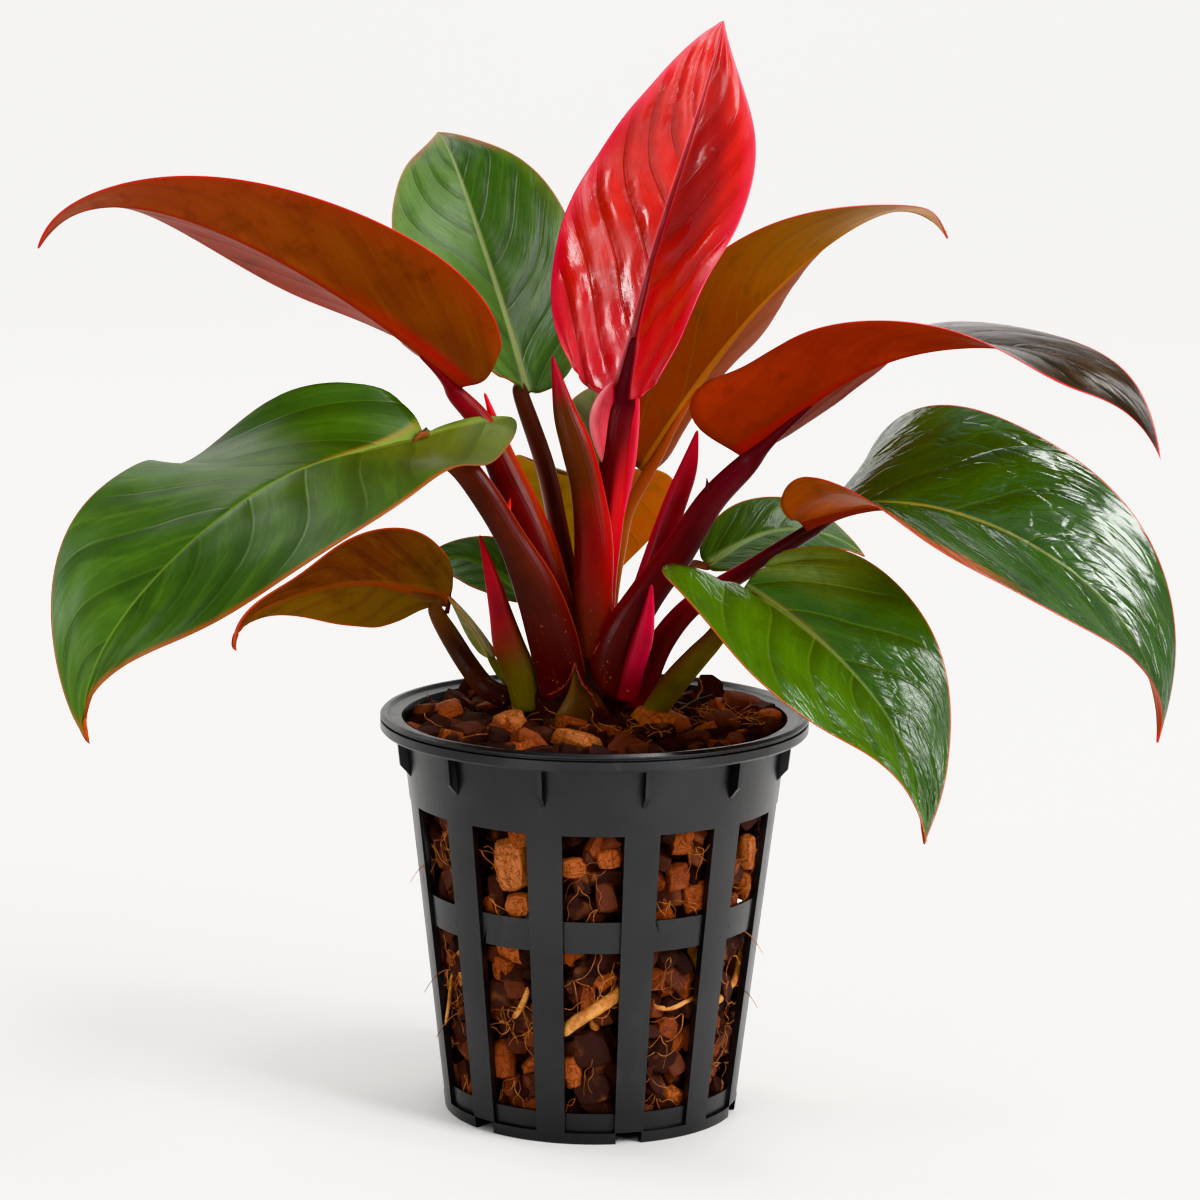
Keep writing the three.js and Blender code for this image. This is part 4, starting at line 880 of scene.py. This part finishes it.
def tube(name, broad, rows, sides, steps, end=0.02, own=None):
    """A stalk of elliptical section through its stations; its map's v is 1 at the last of its own."""
    piece = patch(name, sides, steps)
    flat = points_of(piece)
    turn = 2 * math.pi * flat[:, 0]
    t = flat[:, 1]
    step = 1e-3
    found = through(rows, t)
    tangent = unit(through(rows, t + step)[:, :3] - through(rows, t - step)[:, :3])
    wide = unit(broad - tangent * (tangent @ broad)[:, None])
    thin = np.cross(tangent, wide)
    dome = np.sqrt(np.clip(1 - np.clip(1 - np.minimum(t, 1 - t) / end, 0, 1) ** 2, 0, 1))
    cosine = np.cos(turn) * dome * found[:, 3] / 2
    sine = np.sin(turn) * dome * found[:, 4] / 2
    put_points(piece, (found[:, :3] + wide * cosine[:, None] + thin * sine[:, None]) * MM)
    if own:
        surface = piece.data.uv_layers["surface"].data
        places = np.empty(len(surface) * 2)
        surface.foreach_get("uv", places)
        places[1::2] *= (len(rows) - 1) / (own - 1)
        surface.foreach_set("uv", places)
    weld(piece, 1e-5, outward=True)
    smooth(piece)
    return piece


def run_on(name, rows):
    """A stalk's stations, its end sunk a little under its blade, and three more along the blade's rib."""
    leaf = BLADES[name]
    t = np.array([0.0, 0.03, 0.07, 0.13])
    spine = bezier(leaf["spine"], t)
    _, up = rib_frame(leaf, t)
    *most, (x, y, z, width, thick) = rows
    showing = name == "crimson_top"  # the one stalk whose end is seen on the face of its blade
    sunk = np.array([x, y, z]) - up[0] * thick * (0.2 if showing else 0.5)
    more = []
    for place, away, share in zip(spine[1:], up[1:], (0.8, 0.55, 0.3)):
        size = thick * share
        depth = size * 0.3 if showing else size * 0.5 + 0.5
        more.append((*(place - away * depth), width * share if showing else size, size))
    return most + [(*sunk, width * 0.95, thick * 0.95)] + more


def stalk_finish(name, front, left, right, top=None, foot=None, rim=None, rim_left=None, streak="b06050",
                 gloss=0.26, patches=()):
    """The skin of a stalk; u goes round it, with its front at three quarters and its left at a half."""
    finish = Finish(name, front)
    u, t, _ = finish.split(finish.map("surface"))
    place = finish.place()
    cloud = finish.noise(place, 60, detail=3)
    grain = finish.noise(finish.vector(u * 26, t * 3.4), 1.0, detail=4, rough=0.6)
    speck = finish.noise(place, 1500, detail=0)
    aside = abs(u - 0.5)
    below_tip = t.rise(0.96, 0.88)
    finish.coat(cloud.rise(0.35, 0.7), front, 0.5)
    # The left and right colours are partly the stalk's own tones and partly painted light and shade on its
    # sides.
    finish.coat(aside.rise(0.23, 0.05), left)
    finish.coat((aside * 2).rise(0.55, 0.92), right)
    if top:
        finish.coat(t.rise(0.6, 0.98), top)
    if foot:
        finish.coat(t.rise(0.4, 0.05), foot)
    finish.lay(patches, u=u, t=t, cloud=cloud, grain=grain)
    finish.coat(grain.rise(0.45, 0.25) * 0.35, front, 0.5)
    # Pale streaks along the grain: partly grain, partly painted sheen.
    finish.coat(grain.rise(0.58, 0.78) * 0.16, streak)
    # Thin rim lines at the sides: partly coloured margins, partly painted rim highlight.
    if rim:
        finish.coat((aside * 2).rise(0.91, 0.97) * below_tip * 0.7, rim)
    if rim_left:
        finish.coat(aside.rise(0.045, 0.015) * below_tip * 0.7, rim_left)
    finish.coat(speck.rise(0.79, 0.83) * t.rise(0.35, 0.05) * 0.6, "d89868")
    return finish.close(gloss + grain * 0.12, (grain, 0.35, 0.0006), 0.2)


BROWN_STALKS = ("left", "low_left", "front_right", "back")
STALK_LOOKS = {
    "left": dict(front="46160c", left="381008", right="561410", top="5a2414", foot="3e0c0c", rim="c0482a",
        rim_left="7a3a28", patches=[("4c5a18", 1, ("t", 0.95, 0.99))]),
    "right_long": dict(front="42090a", left="580c10", right="34070c", foot="48100c", rim="5a1a24",
        rim_left="a8141c", top="4c0a12"),
    "front_right": dict(front="5e4e12", left="4a2a12", right="6a5a18", top="3a1c0c", foot="746a16"),
    "right": dict(front="560a0a", left="8a0c1e", right="4a0808", top="2e0808", foot="6e0a10"),
    "upper_left": dict(front="580b0a", left="340a0e", right="9a2a0c", top="700e14", foot="560c0c",
        rim="e84018", streak="a85a4a"),
    "low_left": dict(front="3a180c", left="4a2814", right="2c100a", top="5a3418", foot="2a0e08",
        rim_left="7a5434"),
    "crimson_top": dict(front="560a0c", left="40060c", right="9c0a1c", top="4a0810", foot="b8281a",
        streak="8a3038", patches=[("c81a20", 1, ("t", 0.75, 0.45), ("u", 0.74, 0.8))]),
    "upper_right": dict(front="b45a26", left="9a3c1c", right="c8763c", top="9a4010", foot="b04820",
        streak="e09a70"),
    # The back stalk's pale left side is a painted highlight.
    "back": dict(front="30120e", left="8a6460", right="5a2a24", top="4a241a", streak="a88078"),
    "back_right_small": dict(front="5a2a14", left="5a2a14", right="6a3a1c"),
    "back_left_small": dict(front="3c3014", left="3c2010", right="4a3a18"),
    "yellowing": dict(front="8a5216", left="7a4010", right="98601c"),
    "olive_behind": dict(front="5a3a14", left="4a2a10", right="6a4a18"),
    "foot_small": dict(front="6a6430", left="5c5a28", right="746c38"),
}
SHEATH_LOOKS = {
    "great": dict(front="6e0a08", left="3c0a08", right="a20c0c", foot="4e1c0c", rim="dc3c1e",
        rim_left="742418",
        patches=[("421e06", 0.9, ("t", 0.42, 0.66), ("t", 1, 0.85), ("u", 0.95, 0.8), ("u", 0.4, 0.55)),
        ("561808", 0.5, ("t", 0.35, 0.05)), ("8a0c1c", 1, ("t", 0.86, 0.97))]),
    "crimson_tall": dict(front="74060e", left="a00c24", right="7c0816", top="9a0c1c", foot="700a10",
        rim="c01838", rim_left="c81034"),
    "crimson_short": dict(front="b80a2c", left="6c0814", right="d02444", foot="740a14", rim="e8587a"),
    "left_foot": dict(front="84101a", left="a00c20", right="4c140e", top="9a0c18", rim_left="c84028",
        patches=[("4e280c", 1, ("t", 0.66, 0.25)), ("585014", 1, ("t", 0.45, 0.05))]),
    "narrow_left": dict(front="c41212", left="701010", right="e01a18", top="cc0e20", foot="8a200c"),
    "torn_foot": dict(front="3a1e0e", left="543a16", right="300c0c", foot="3c3410",
        # Lighter at the left and dark at the right: partly its own tones, partly painted light and shade.
        patches=[("5e4018", 1, ("u", 0.74, 0.6)), ("2c0c0a", 1, ("u", 0.74, 0.86)),
        ("5a3a14", 0.4, ("cloud", 0.4, 0.6))]),
}
FLAPS = {
    "pink_wing": ("petiole_crimson_top", (1, 0.1, 0), [
        (5.5, 5.4, 191, 1.2, 0.8), (3.4, 5.4, 196.5, 3, 0.9), (1.6, 5.2, 204, 6, 1),
        (0.9, 5.2, 211, 7.4, 1.1), (2.2, 5.4, 217, 5.6, 1), (4, 5.8, 222, 1, 0.7)]),
    "red_wing": ("petiole_crimson_top", (1, -0.1, 0), [
        (5.6, 6, 172, 1.2, 0.8), (6.8, 5.8, 184, 4, 1), (8.8, 5.6, 196, 5, 1.1), (10.2, 5.4, 208, 4.4, 1.1),
        (11, 5.6, 216, 3, 1), (11.4, 6, 222, 0.8, 0.7)]),
    "red_flap": ("petiole_left", (1, 0, 0.3), [
        (-28.4, -12.4, 181.4, 1.4, 1), (-27.3, -12.8, 184, 2.2, 1), (-26.4, -12.8, 186.6, 1.6, 0.8),
        (-25.9, -12.6, 189.4, 0.3, 0.3)]),
    "thorn_right": ("petiole_right_long", (1, 0, 0.3), [
        (33, -6.6, 191.6, 2, 1.4), (32.8, -7, 193.6, 1, 0.8), (32.6, -7.2, 195.4, 0.3, 0.3)]),
    "thorn_left": ("petiole_low_left", (1, 0, 0.3), [
        (-45.4, 6.4, 151, 1.8, 1.4), (-44.4, 5.6, 154.6, 1, 0.9), (-44, 5.2, 158, 0.3, 0.3)]),
}
TORN_EDGES = {
    "torn_left": ("petiole_left", 11, [
        (-15.4, -10, 129), (-12.6, -11.9, 130.4), (-9.6, -13.4, 132.6), (-7.4, -15.4, 136),
        (-6.1, -14.8, 140.4)]),
    "torn_right": ("sheath_torn_foot", 8, [
        (-6.1, -14.4, 140), (-5, -16, 137), (-3.2, -17, 133.6), (-0.8, -17.3, 130.6), (1, -17.4, 127.4)]),
    "torn_high": ("petiole_right_long", 8, [
        (-0.6, -9.4, 141.6), (1, -9.4, 145), (3.4, -9.3, 149), (6.2, -9, 153)]),
}
FLAP_LOOKS = {
    "pink_wing": dict(front="d84a54", left="ee8a90", right="c02a38", streak="f8c8c8", gloss=0.25),
    "red_wing": dict(front="c81222", left="a40c18", right="e04458", streak="f07078", gloss=0.25),
    "red_flap": dict(front="cc1c14", left="c01410", right="d83020"),
    "thorn_right": dict(front="4a1014", left="4a1014", right="3a0c10"),
    "thorn_left": dict(front="4a2414", left="4a2414", right="3a1c10"),
}


def ragged(points, beads):
    """Stations of a thin torn edge through these points: its width swells at each bead."""
    found = through(points, np.linspace(0, 1, 2 * beads + 1))
    found[:, 2] += 0.25 * np.sin(np.arange(len(found)) * 2.3)
    return [(*place, wide, 0.5) for place, wide in zip(found, [0.3, *[0.85, 0.45] * beads])]


def make_stalks():
    for name, (broad, rows) in PETIOLES.items():
        slim = rows[0][3] < 6.5
        piece = tube("stalk_" + name, broad, run_on(name, rows), 20 if slim else 32, 80, own=len(rows))
        paint(piece, stalk_finish(name + "_stalk", **STALK_LOOKS[name]))
        hand_over(piece, "brown_stalk" if name in BROWN_STALKS else "maroon_stalk", "petiole_" + name)
    for name, (broad, rows) in SHEATHS.items():
        piece = tube("sheath_skin_" + name, broad, rows, 32, 80)
        paint(piece, stalk_finish(name + "_sheath", **SHEATH_LOOKS[name]))
        hand_over(piece, "crimson", "sheath_" + name)
    for name, (node, broad, rows) in FLAPS.items():
        piece = tube(name, broad, rows, 16, 40)
        paint(piece, stalk_finish(name + "_skin", **FLAP_LOOKS[name]))
        hand_over(piece, "crimson", node)
    torn = stalk_finish("torn_edge", front="5a1a12", left="742620", right="48120c", streak="d8a090",
                        patches=[("c46a5c", 0.8, ("grain", 0.48, 0.6))])
    for name, (node, beads, points) in TORN_EDGES.items():
        piece = tube(name, (0, 0.3, 1), ragged(points, beads), 10, beads * 10)
        paint(piece, torn)
        hand_over(piece, "crimson", node)


# Pot

def wall_radius(z):
    return WALL_FOOT_RADIUS + WALL_TAPER * z


def lathe(name, profile, sides):
    """A ring or solid of revolution from its closed profile of radius and height."""
    piece = patch(name, sides, len(profile) - 1)
    flat = points_of(piece)
    row = np.rint(flat[:, 1] * (len(profile) - 1)).astype(int)
    turn = 2 * math.pi * flat[:, 0]
    radius, height = (np.asarray(profile, float)[row] * MM).T
    put_points(piece, np.stack([radius * np.cos(turn), radius * np.sin(turn), height], axis=1))
    weld(piece, 1e-6, outward=True)
    return piece


def sector(name, middle, half, inner, outer, bottom, top, cuts=8):
    """A block of the pot's circle; inner and outer are radii, or functions of the height."""
    lay_down()
    bpy.ops.mesh.primitive_cube_add(size=2)
    piece = named(name)
    with editing():
        bpy.ops.mesh.subdivide(number_cuts=cuts)
    flat = points_of(piece)
    z = bottom + (top - bottom) * (flat[:, 2] + 1) / 2
    low = inner(z) if callable(inner) else inner
    high = outer(z) if callable(outer) else outer
    radius = low + (high - low) * (flat[:, 1] + 1) / 2
    turn = np.radians(middle - 90 + half * flat[:, 0])
    put_points(piece, np.stack([radius * np.cos(turn), radius * np.sin(turn), z], axis=1) * MM)
    weld(piece, 1e-7, outward=True)
    return piece


def carve(piece, cutter):
    shape_with(piece, "BOOLEAN", operation="DIFFERENCE", solver="EXACT", object=cutter)
    bpy.data.objects.remove(cutter)


def pot():
    foot = wall_radius(0)
    neck = RIM_TOP - RIM_BAND
    shell = lathe("pot_shell", [
        (0, 0), (HUB_RADIUS, 0), (HUB_RADIUS, FOOT_HEIGHT), (foot - WALL_THICKNESS, FOOT_HEIGHT),
        (foot - WALL_THICKNESS, 0), (foot, 0), (wall_radius(neck), neck), (RIM_RADIUS - 0.6, neck),
        (RIM_RADIUS, neck + 0.7), (RIM_RADIUS, RIM_TOP - 2.3), (RIM_RADIUS - 0.6, RIM_TOP - 2),
        (RIM_RADIUS - 0.6, RIM_TOP - 1.6), (RIM_RADIUS, RIM_TOP - 1.3), (RIM_RADIUS, RIM_TOP - 0.8),
        (RIM_RADIUS - 0.8, RIM_TOP), (RIM_RADIUS - 2, RIM_TOP), (RIM_RADIUS - 3, RIM_TOP - 1),
        (RIM_RADIUS - RIM_WIDTH, RIM_TOP - 1.5), (wall_radius(neck) - WALL_THICKNESS, neck),
        (wall_radius(FLOOR_TOP) - WALL_THICKNESS, FLOOR_TOP), (0, FLOOR_TOP), (0, 0),
    ], 144)
    recesses = [sector("recess", angle, WINDOW_HALF_ANGLE, lambda z: wall_radius(z) - RECESS_DEPTH,
                       lambda z: wall_radius(z) + 4, RECESS_FOOT, WINDOW_ROWS[1][1]) for angle in COLUMNS]
    carve(shell, join("recesses", recesses))
    windows = [sector("window", angle, WINDOW_HALF_ANGLE, 30, RIM_RADIUS, bottom, top, cuts=4)
               for angle, bottom, top in WINDOWS]
    carve(shell, join("windows", windows))
    notches = [sector("notch", angle + MIDWAY, 5, 35, RIM_RADIUS, -1, RECESS_FOOT, cuts=2)
               for angle in DRAINS]
    slots = [sector("slot", angle, 9, 14, 34, 1, FLOOR_TOP + 1, cuts=2) for angle in DRAINS]
    carve(shell, join("notches", notches + slots))
    shell = join("pot_shell", [shell, *(lug(angle + MIDWAY) for angle in COLUMNS)])
    shape_with(shell, "BEVEL", width=0.4 * MM, segments=2, limit_method="ANGLE",
               angle_limit=math.radians(40), harden_normals=False)
    smooth(shell, 35)
    paint(shell, pot_finish())
    hand_over(shell, "pot_plastic", "pot")


def lug(angle):
    """One of the small buttress plates under the rim."""
    lay_down()
    bpy.ops.mesh.primitive_cube_add(size=1)
    plate = named("lug")
    flat = points_of(plate)
    top = RIM_TOP - RIM_BAND + 0.4
    outer = flat[:, 0] > 0
    z = np.where(flat[:, 2] > 0, top, np.where(outer, LUG_FOOT[1], LUG_FOOT[0]))
    radius = wall_radius(z) + np.where(outer, LUG_REACH, -1.2)
    put_points(plate, np.stack([radius, flat[:, 1] * LUG_WIDTH, z], axis=1) * MM)
    plate.data.transform(Matrix.Rotation(math.radians(angle - 90), 4, "Z"))
    return plate


def pot_finish():
    finish = Finish("pot_plastic", "1b1b1c")
    place = finish.place()
    cloud = finish.noise(place, 26, detail=3)
    fine = finish.noise(place, 900)
    dust = finish.noise(finish.stretch(place, (1, 1, 0.3)), 120, detail=4, rough=0.65)
    finish.coat(cloud.rise(0.3, 0.7), "242425")
    finish.coat(dust.rise(0.58, 0.82) * 0.25, "4a4540")
    return finish.close(0.3 + cloud * 0.08 + dust.rise(0.5, 0.8) * 0.16, (fine, 0.12, 0.0003))


# Bark mix

CHIP_TONES = [(0.05, 0.05), (0.1, 0.06), (0.16, 0.07), (0.24, 0.08), (0.38, 0.1), (0.66, 0.1)]
CHIP_FLOOR = 4.9
HEAP_FOOT = 118  # above this height the rim's inside bounds the chips instead of the wall
HEAP_RADIUS = 57.5
HEAP_CHIPS = 190
GOLDEN_ANGLE = 2.39996


def chip_shape(name, rng, worn=False):
    """A block of bark, about 1 across: a cube with its corners and sides shifted at random."""
    lay_down()
    bpy.ops.mesh.primitive_cube_add(size=1)
    piece = named(name)
    with editing():
        bpy.ops.mesh.subdivide(number_cuts=1)
    points = points_of(piece)
    for i, outermost in enumerate(np.sum(np.abs(points) > 0.4, axis=1)):
        low, high = {3: (0.62, 0.98), 2: (0.82, 1.08), 1: (0.98, 1.12)}[int(outermost)]
        points[i] *= [rng.uniform(low, high) for _ in range(3)]
    put_points(piece, points)
    with editing():
        bpy.ops.mesh.convex_hull(join_triangles=False)
        bpy.ops.mesh.select_all(action="SELECT")
        bpy.ops.mesh.normals_make_consistent(inside=False)
    if worn:
        shape_with(piece, "BEVEL", width=0.07, segments=3, limit_method="ANGLE",
                   angle_limit=math.radians(15))
    return piece


def copy_of(piece, size, turn, centre, tone):
    """A copy of a chip at this size and place, with its own lie kept for its grain."""
    other = piece.copy()
    other.data = piece.data.copy()
    own = points_of(other) * np.array(size, float)
    put_points(other, (own @ np.array(turn).T + np.array(centre, float)) * MM)
    bpy.context.collection.objects.link(other)
    mark(other, "tone", tone)
    mark(other, "layer", own[:, 2] + tone * 40)
    mark(other, "fibre", own[:, 1])
    return other


def bark_finish():
    """Fibres run along each chip, darker where its tone is low, with cracks in the bright ones."""
    finish = Finish("bark_chips")
    place = finish.place()
    tone = finish.attribute("tone")
    lie = finish.vector(finish.attribute("fibre") * 0.5, finish.attribute("layer") * 1.6, tone * 30)
    grain = finish.noise(lie, 1.5, detail=5, rough=0.7, warp=0.3)
    crumb = finish.noise(place, 900, detail=4, rough=0.7)
    cloud = finish.noise(place, 130, detail=3)
    warped = finish.noise(place, 260, output="Color")
    crack = finish.cracks(finish.mix(0.012, place, warped), 230).rise(0.05, 0.0) * tone.rise(0.35, 0.8)
    finish.skin = finish.ramp(tone, (0, tint("1e1210")), (0.22, tint("3a2622")), (0.45, tint("5e3428")),
                              (0.68, tint("8e4628")), (0.86, tint("a85a34")), (1, tint("bc7248")))
    finish.coat(grain.rise(0.42, 0.7) * 0.4, "34180f")
    finish.coat(cloud.rise(0.55, 0.75) * 0.3, "b87048")
    finish.coat(crack * 0.5, "34160c")
    height = grain * 0.6 + crumb * 0.25 - crack * 0.8
    return finish.close(0.7 + crumb * 0.2, (height, 0.8, 0.0007), 0.3)


def keep_inside(heap):
    """Draw in the points of the chips that would pass the pot's floor, its wall or its rim."""
    points = points_of(heap) / MM
    points[:, 2] = np.maximum(points[:, 2], CHIP_FLOOR)
    inside = wall_radius(points[:, 2]) - WALL_THICKNESS - 0.3
    most = np.where(points[:, 2] < HEAP_FOOT, inside, HEAP_RADIUS)
    points[:, :2] *= np.minimum(1, most / np.maximum(np.hypot(*points[:, :2].T), 1e-6))[:, None]
    put_points(heap, points * MM)


def bark():
    rng = random.Random(11)
    shapes = [chip_shape("chip_%d" % i, rng) for i in range(12)]
    large = [chip_shape("slab_%d" % i, rng, worn=True) for i in range(6)]
    chips = []

    def lying(spread):
        """Spin a flat chip at random and tilt it by up to this much."""
        tilts = [rng.uniform(-spread, spread) for _ in range(2)]
        return Euler((*tilts, rng.uniform(0, 6.28))).to_matrix()

    def facing(angle, spread):
        """Turn a flat chip to look outwards at this angle round the pot, spun and tilted."""
        return Euler((0, 0, angle)).to_matrix() @ Euler((0, math.pi / 2, 0)).to_matrix() @ lying(spread)

    def shade():
        """Mostly dark, some brown, a few bright."""
        return min(1, max(0, rng.gauss(*rng.choice(CHIP_TONES))))

    def put(shape, size, turn, centre, tone):
        chips.append(copy_of(shape, size, turn, centre, tone))

    spots = []
    for x, y, z, wide, tall, thick, tone in WINDOW_CHIPS:
        radius = wall_radius(z) - WALL_THICKNESS - thick * 0.5 - 0.2
        spots.append((*on_ring(radius, math.atan2(y, x), z), wide, tall, thick, tone))
    for column, bottom, top in WINDOWS:
        for behind in (0, 1):
            z = bottom + 1
            while z < top + 1:
                for k in range(3):
                    angle = math.radians(column - 90 + (k - 1) * 6.5 + rng.uniform(-2.5, 2.5))
                    size = (rng.uniform(5, 11), rng.uniform(4, 8), rng.uniform(2.6, 5.5))
                    size = [s * (1.3 if behind else 1) for s in size]
                    radius = wall_radius(z) - WALL_THICKNESS - size[2] * 0.55
                    radius = radius - rng.uniform(0.4, 3) - behind * 6
                    centre = on_ring(radius, angle, z + rng.uniform(-2, 2))
                    hidden = any(math.dist(centre, spot[:3]) < spot[4] * 0.62 for spot in spots)
                    if behind or not hidden:
                        # Chips of the back layer are made 0.4 as bright: painted shade.
                        put(rng.choice(shapes), size, facing(angle, 0.6), centre,
                            shade() * (0.4 if behind else 1))
                z += 7 if behind else 5.8
    for i in range(HEAP_CHIPS):
        radius = 55 * math.sqrt((i + 0.5) / HEAP_CHIPS)
        heap_up = 4.5 * max(0, 1 - radius / 34)
        centre = on_ring(radius, i * GOLDEN_ANGLE, 116.5 + heap_up + rng.uniform(-1, 3))
        long = rng.uniform(6, 12)
        size = (long, long * rng.uniform(0.55, 0.9), rng.uniform(3.5, 7))
        put(rng.choice(shapes), size, lying(0.6), centre, shade())
    for x, y, z, long, wide, thick, tone in TOP_CHIPS:
        put(rng.choice(large), (long, wide, thick), lying(0.3), (x, y, z - thick * 0.4), tone)
    for x, y, z, wide, tall, thick, tone in spots:
        turn = Euler((0, math.pi / 2, math.atan2(y, x))).to_matrix() @ Euler((0, 0, 0.15)).to_matrix()
        put(rng.choice(large), (tall, wide, thick), turn, (x, y, z), tone)
    heap = join("bark_chips", chips)
    for shape in shapes + large:
        bpy.data.objects.remove(shape)
    keep_inside(heap)
    smooth(heap, 28)
    paint(heap, bark_finish())
    hand_over(heap, "bark", "bark_mix")


def shade_fill():
    """Dark fill behind the chips; its near-black colour is painted shade."""
    core = lathe("shade_fill_core", [(0, 6), (wall_radius(6) - 14, 6), (wall_radius(60) - 13, 60),
                               (wall_radius(112) - 12, 112), (0, 114), (0, 6)], 48)
    smooth(core, 40)
    finish = Finish("dark_shade_fill", "0c0605")
    crumb = finish.noise(finish.place(), 300, detail=5, rough=0.7)
    finish.coat(crumb.rise(0.4, 0.7), "22120c")
    paint(core, finish.close(0.95, (crumb, 1.0, 0.002)))
    hand_over(core, "bark", "bark_mix")


# Roots, rootlets and crown

def root_finish(name, colour, shade):
    finish = Finish(name, colour)
    place = finish.place()
    cloud = finish.noise(place, 200, detail=4, rough=0.65)
    fine = finish.noise(finish.stretch(place, (1, 1, 2.4)), 700, detail=4, rough=0.65)
    finish.coat(cloud.rise(0.4, 0.62), shade)
    finish.coat(fine.rise(0.5, 0.75) * 0.4, shade, 0.4)
    return finish.close(0.75 + fine * 0.15, (fine, 0.6, 0.0005))


def roots():
    arms = []
    for path in ROOTS:
        x, y, _ = path[-1]
        rows = [(*point, width, width) for point, width in zip(path, ROOT_WIDTHS)]
        arms.append(tube("root_arm", (-y, x, 0), rows, 12, 40, end=0.05))
    for path in ROOTS_IN_WINDOWS:
        rows = [(x, y, z, width, width * 0.8) for x, y, z, width in path]
        arms.append(tube("root_arm", (0, 0, 1), rows, 12, 30, end=0.06))
    thick = join("thick_roots", arms)
    paint(thick, root_finish("root_skin", "d09450", "a86434"))
    hand_over(thick, "root", "roots")


def rootlets():
    """Fine roots: a web in each window, some on the mix, and five that stick out."""
    rng = random.Random(5)
    hairs = []

    def hair(rows):
        hairs.append(tube("rootlet", (0.1, 0.2, 1), rows, 5, 14, end=0.06))

    for column, bottom, top in WINDOWS:
        for _ in range(5 if top > 90 else 9):
            angle = math.radians(column - 90 + rng.uniform(-9, 9))
            z = rng.uniform(bottom + 3, top - 1)
            heading = rng.uniform(-1.6, 1.6)
            width = rng.uniform(0.22, 0.42)
            for branch in range(2):
                rows, turn, height, way = [], angle, z, heading + branch * rng.uniform(-0.9, 0.9)
                for i in range(6):
                    radius = wall_radius(height) - WALL_THICKNESS + rng.uniform(-0.7, 0.8)
                    size = width * (1 - i * 0.1) * (0.75 if branch else 1)
                    rows.append((*on_ring(radius, turn, height), size, size))
                    way += rng.uniform(-0.9, 0.9)
                    turn += 0.05 * math.sin(way)
                    height = min(top + 1, max(bottom - 1, height - 2.6 * math.cos(way)))
                hair(rows)
    clusters = [(-31, 4), (31, 2), (42, -4), (0, -24), (-16, -8), (14, -22)]
    for i in range(110):
        middle = clusters[i % 6] if i % 3 else (rng.uniform(-45, 45), rng.uniform(-30, 30))
        x, y = middle[0] + rng.gauss(0, 5), middle[1] + rng.gauss(0, 4)
        heading = rng.uniform(0, 6.283)
        rise = rng.uniform(-0.3, 1.2)
        z = 121
        rows = []
        for k in range(6):
            size = 0.4 - k * 0.04
            reach = min(1, 53 / max(1, math.hypot(x, y)))
            rows.append((x * reach, y * reach, z, size, size))
            heading += rng.uniform(-1, 1)
            x += 1.8 * math.cos(heading)
            y += 1.8 * math.sin(heading)
            z = min(128, z + rise + rng.uniform(-0.7, 0.7))
        hair(rows)
    for angle, z, way in ((-158, 46, -1), (-150, 34, -1), (-24, 60, 1), (-21, 42, 1), (-160, 80, -1)):
        turn = math.radians(angle)
        inner = wall_radius(z) - 4
        rows = []
        for k in range(5):
            rows.append((*on_ring(inner + k * 1.9, turn, z - k * k * 0.5), 0.42 - k * 0.05, 0.4))
            turn += 0.015 * way
        hair(rows)
    web = join("rootlets", hairs)
    paint(web, root_finish("rootlet_skin", "b67444", "844626"))
    hand_over(web, "root", "roots")


def crown():
    body = lathe("crown_stump", through(CROWN_OUTLINE, np.linspace(0, 1, 60)), 48)
    points = points_of(body)
    points[:, 0] = points[:, 0] * CROWN_WIDE + CROWN_MIDDLE * MM
    points[:, 1] *= CROWN_DEEP
    put_points(body, points)
    smooth(body)
    paint(body, root_finish("crown_skin", "32140e", "180a08"))
    hand_over(body, "crown", "crown")


make_blades()
make_stalks()
pot()
bark()
shade_fill()
roots()
rootlets()
crown()

lay_down()
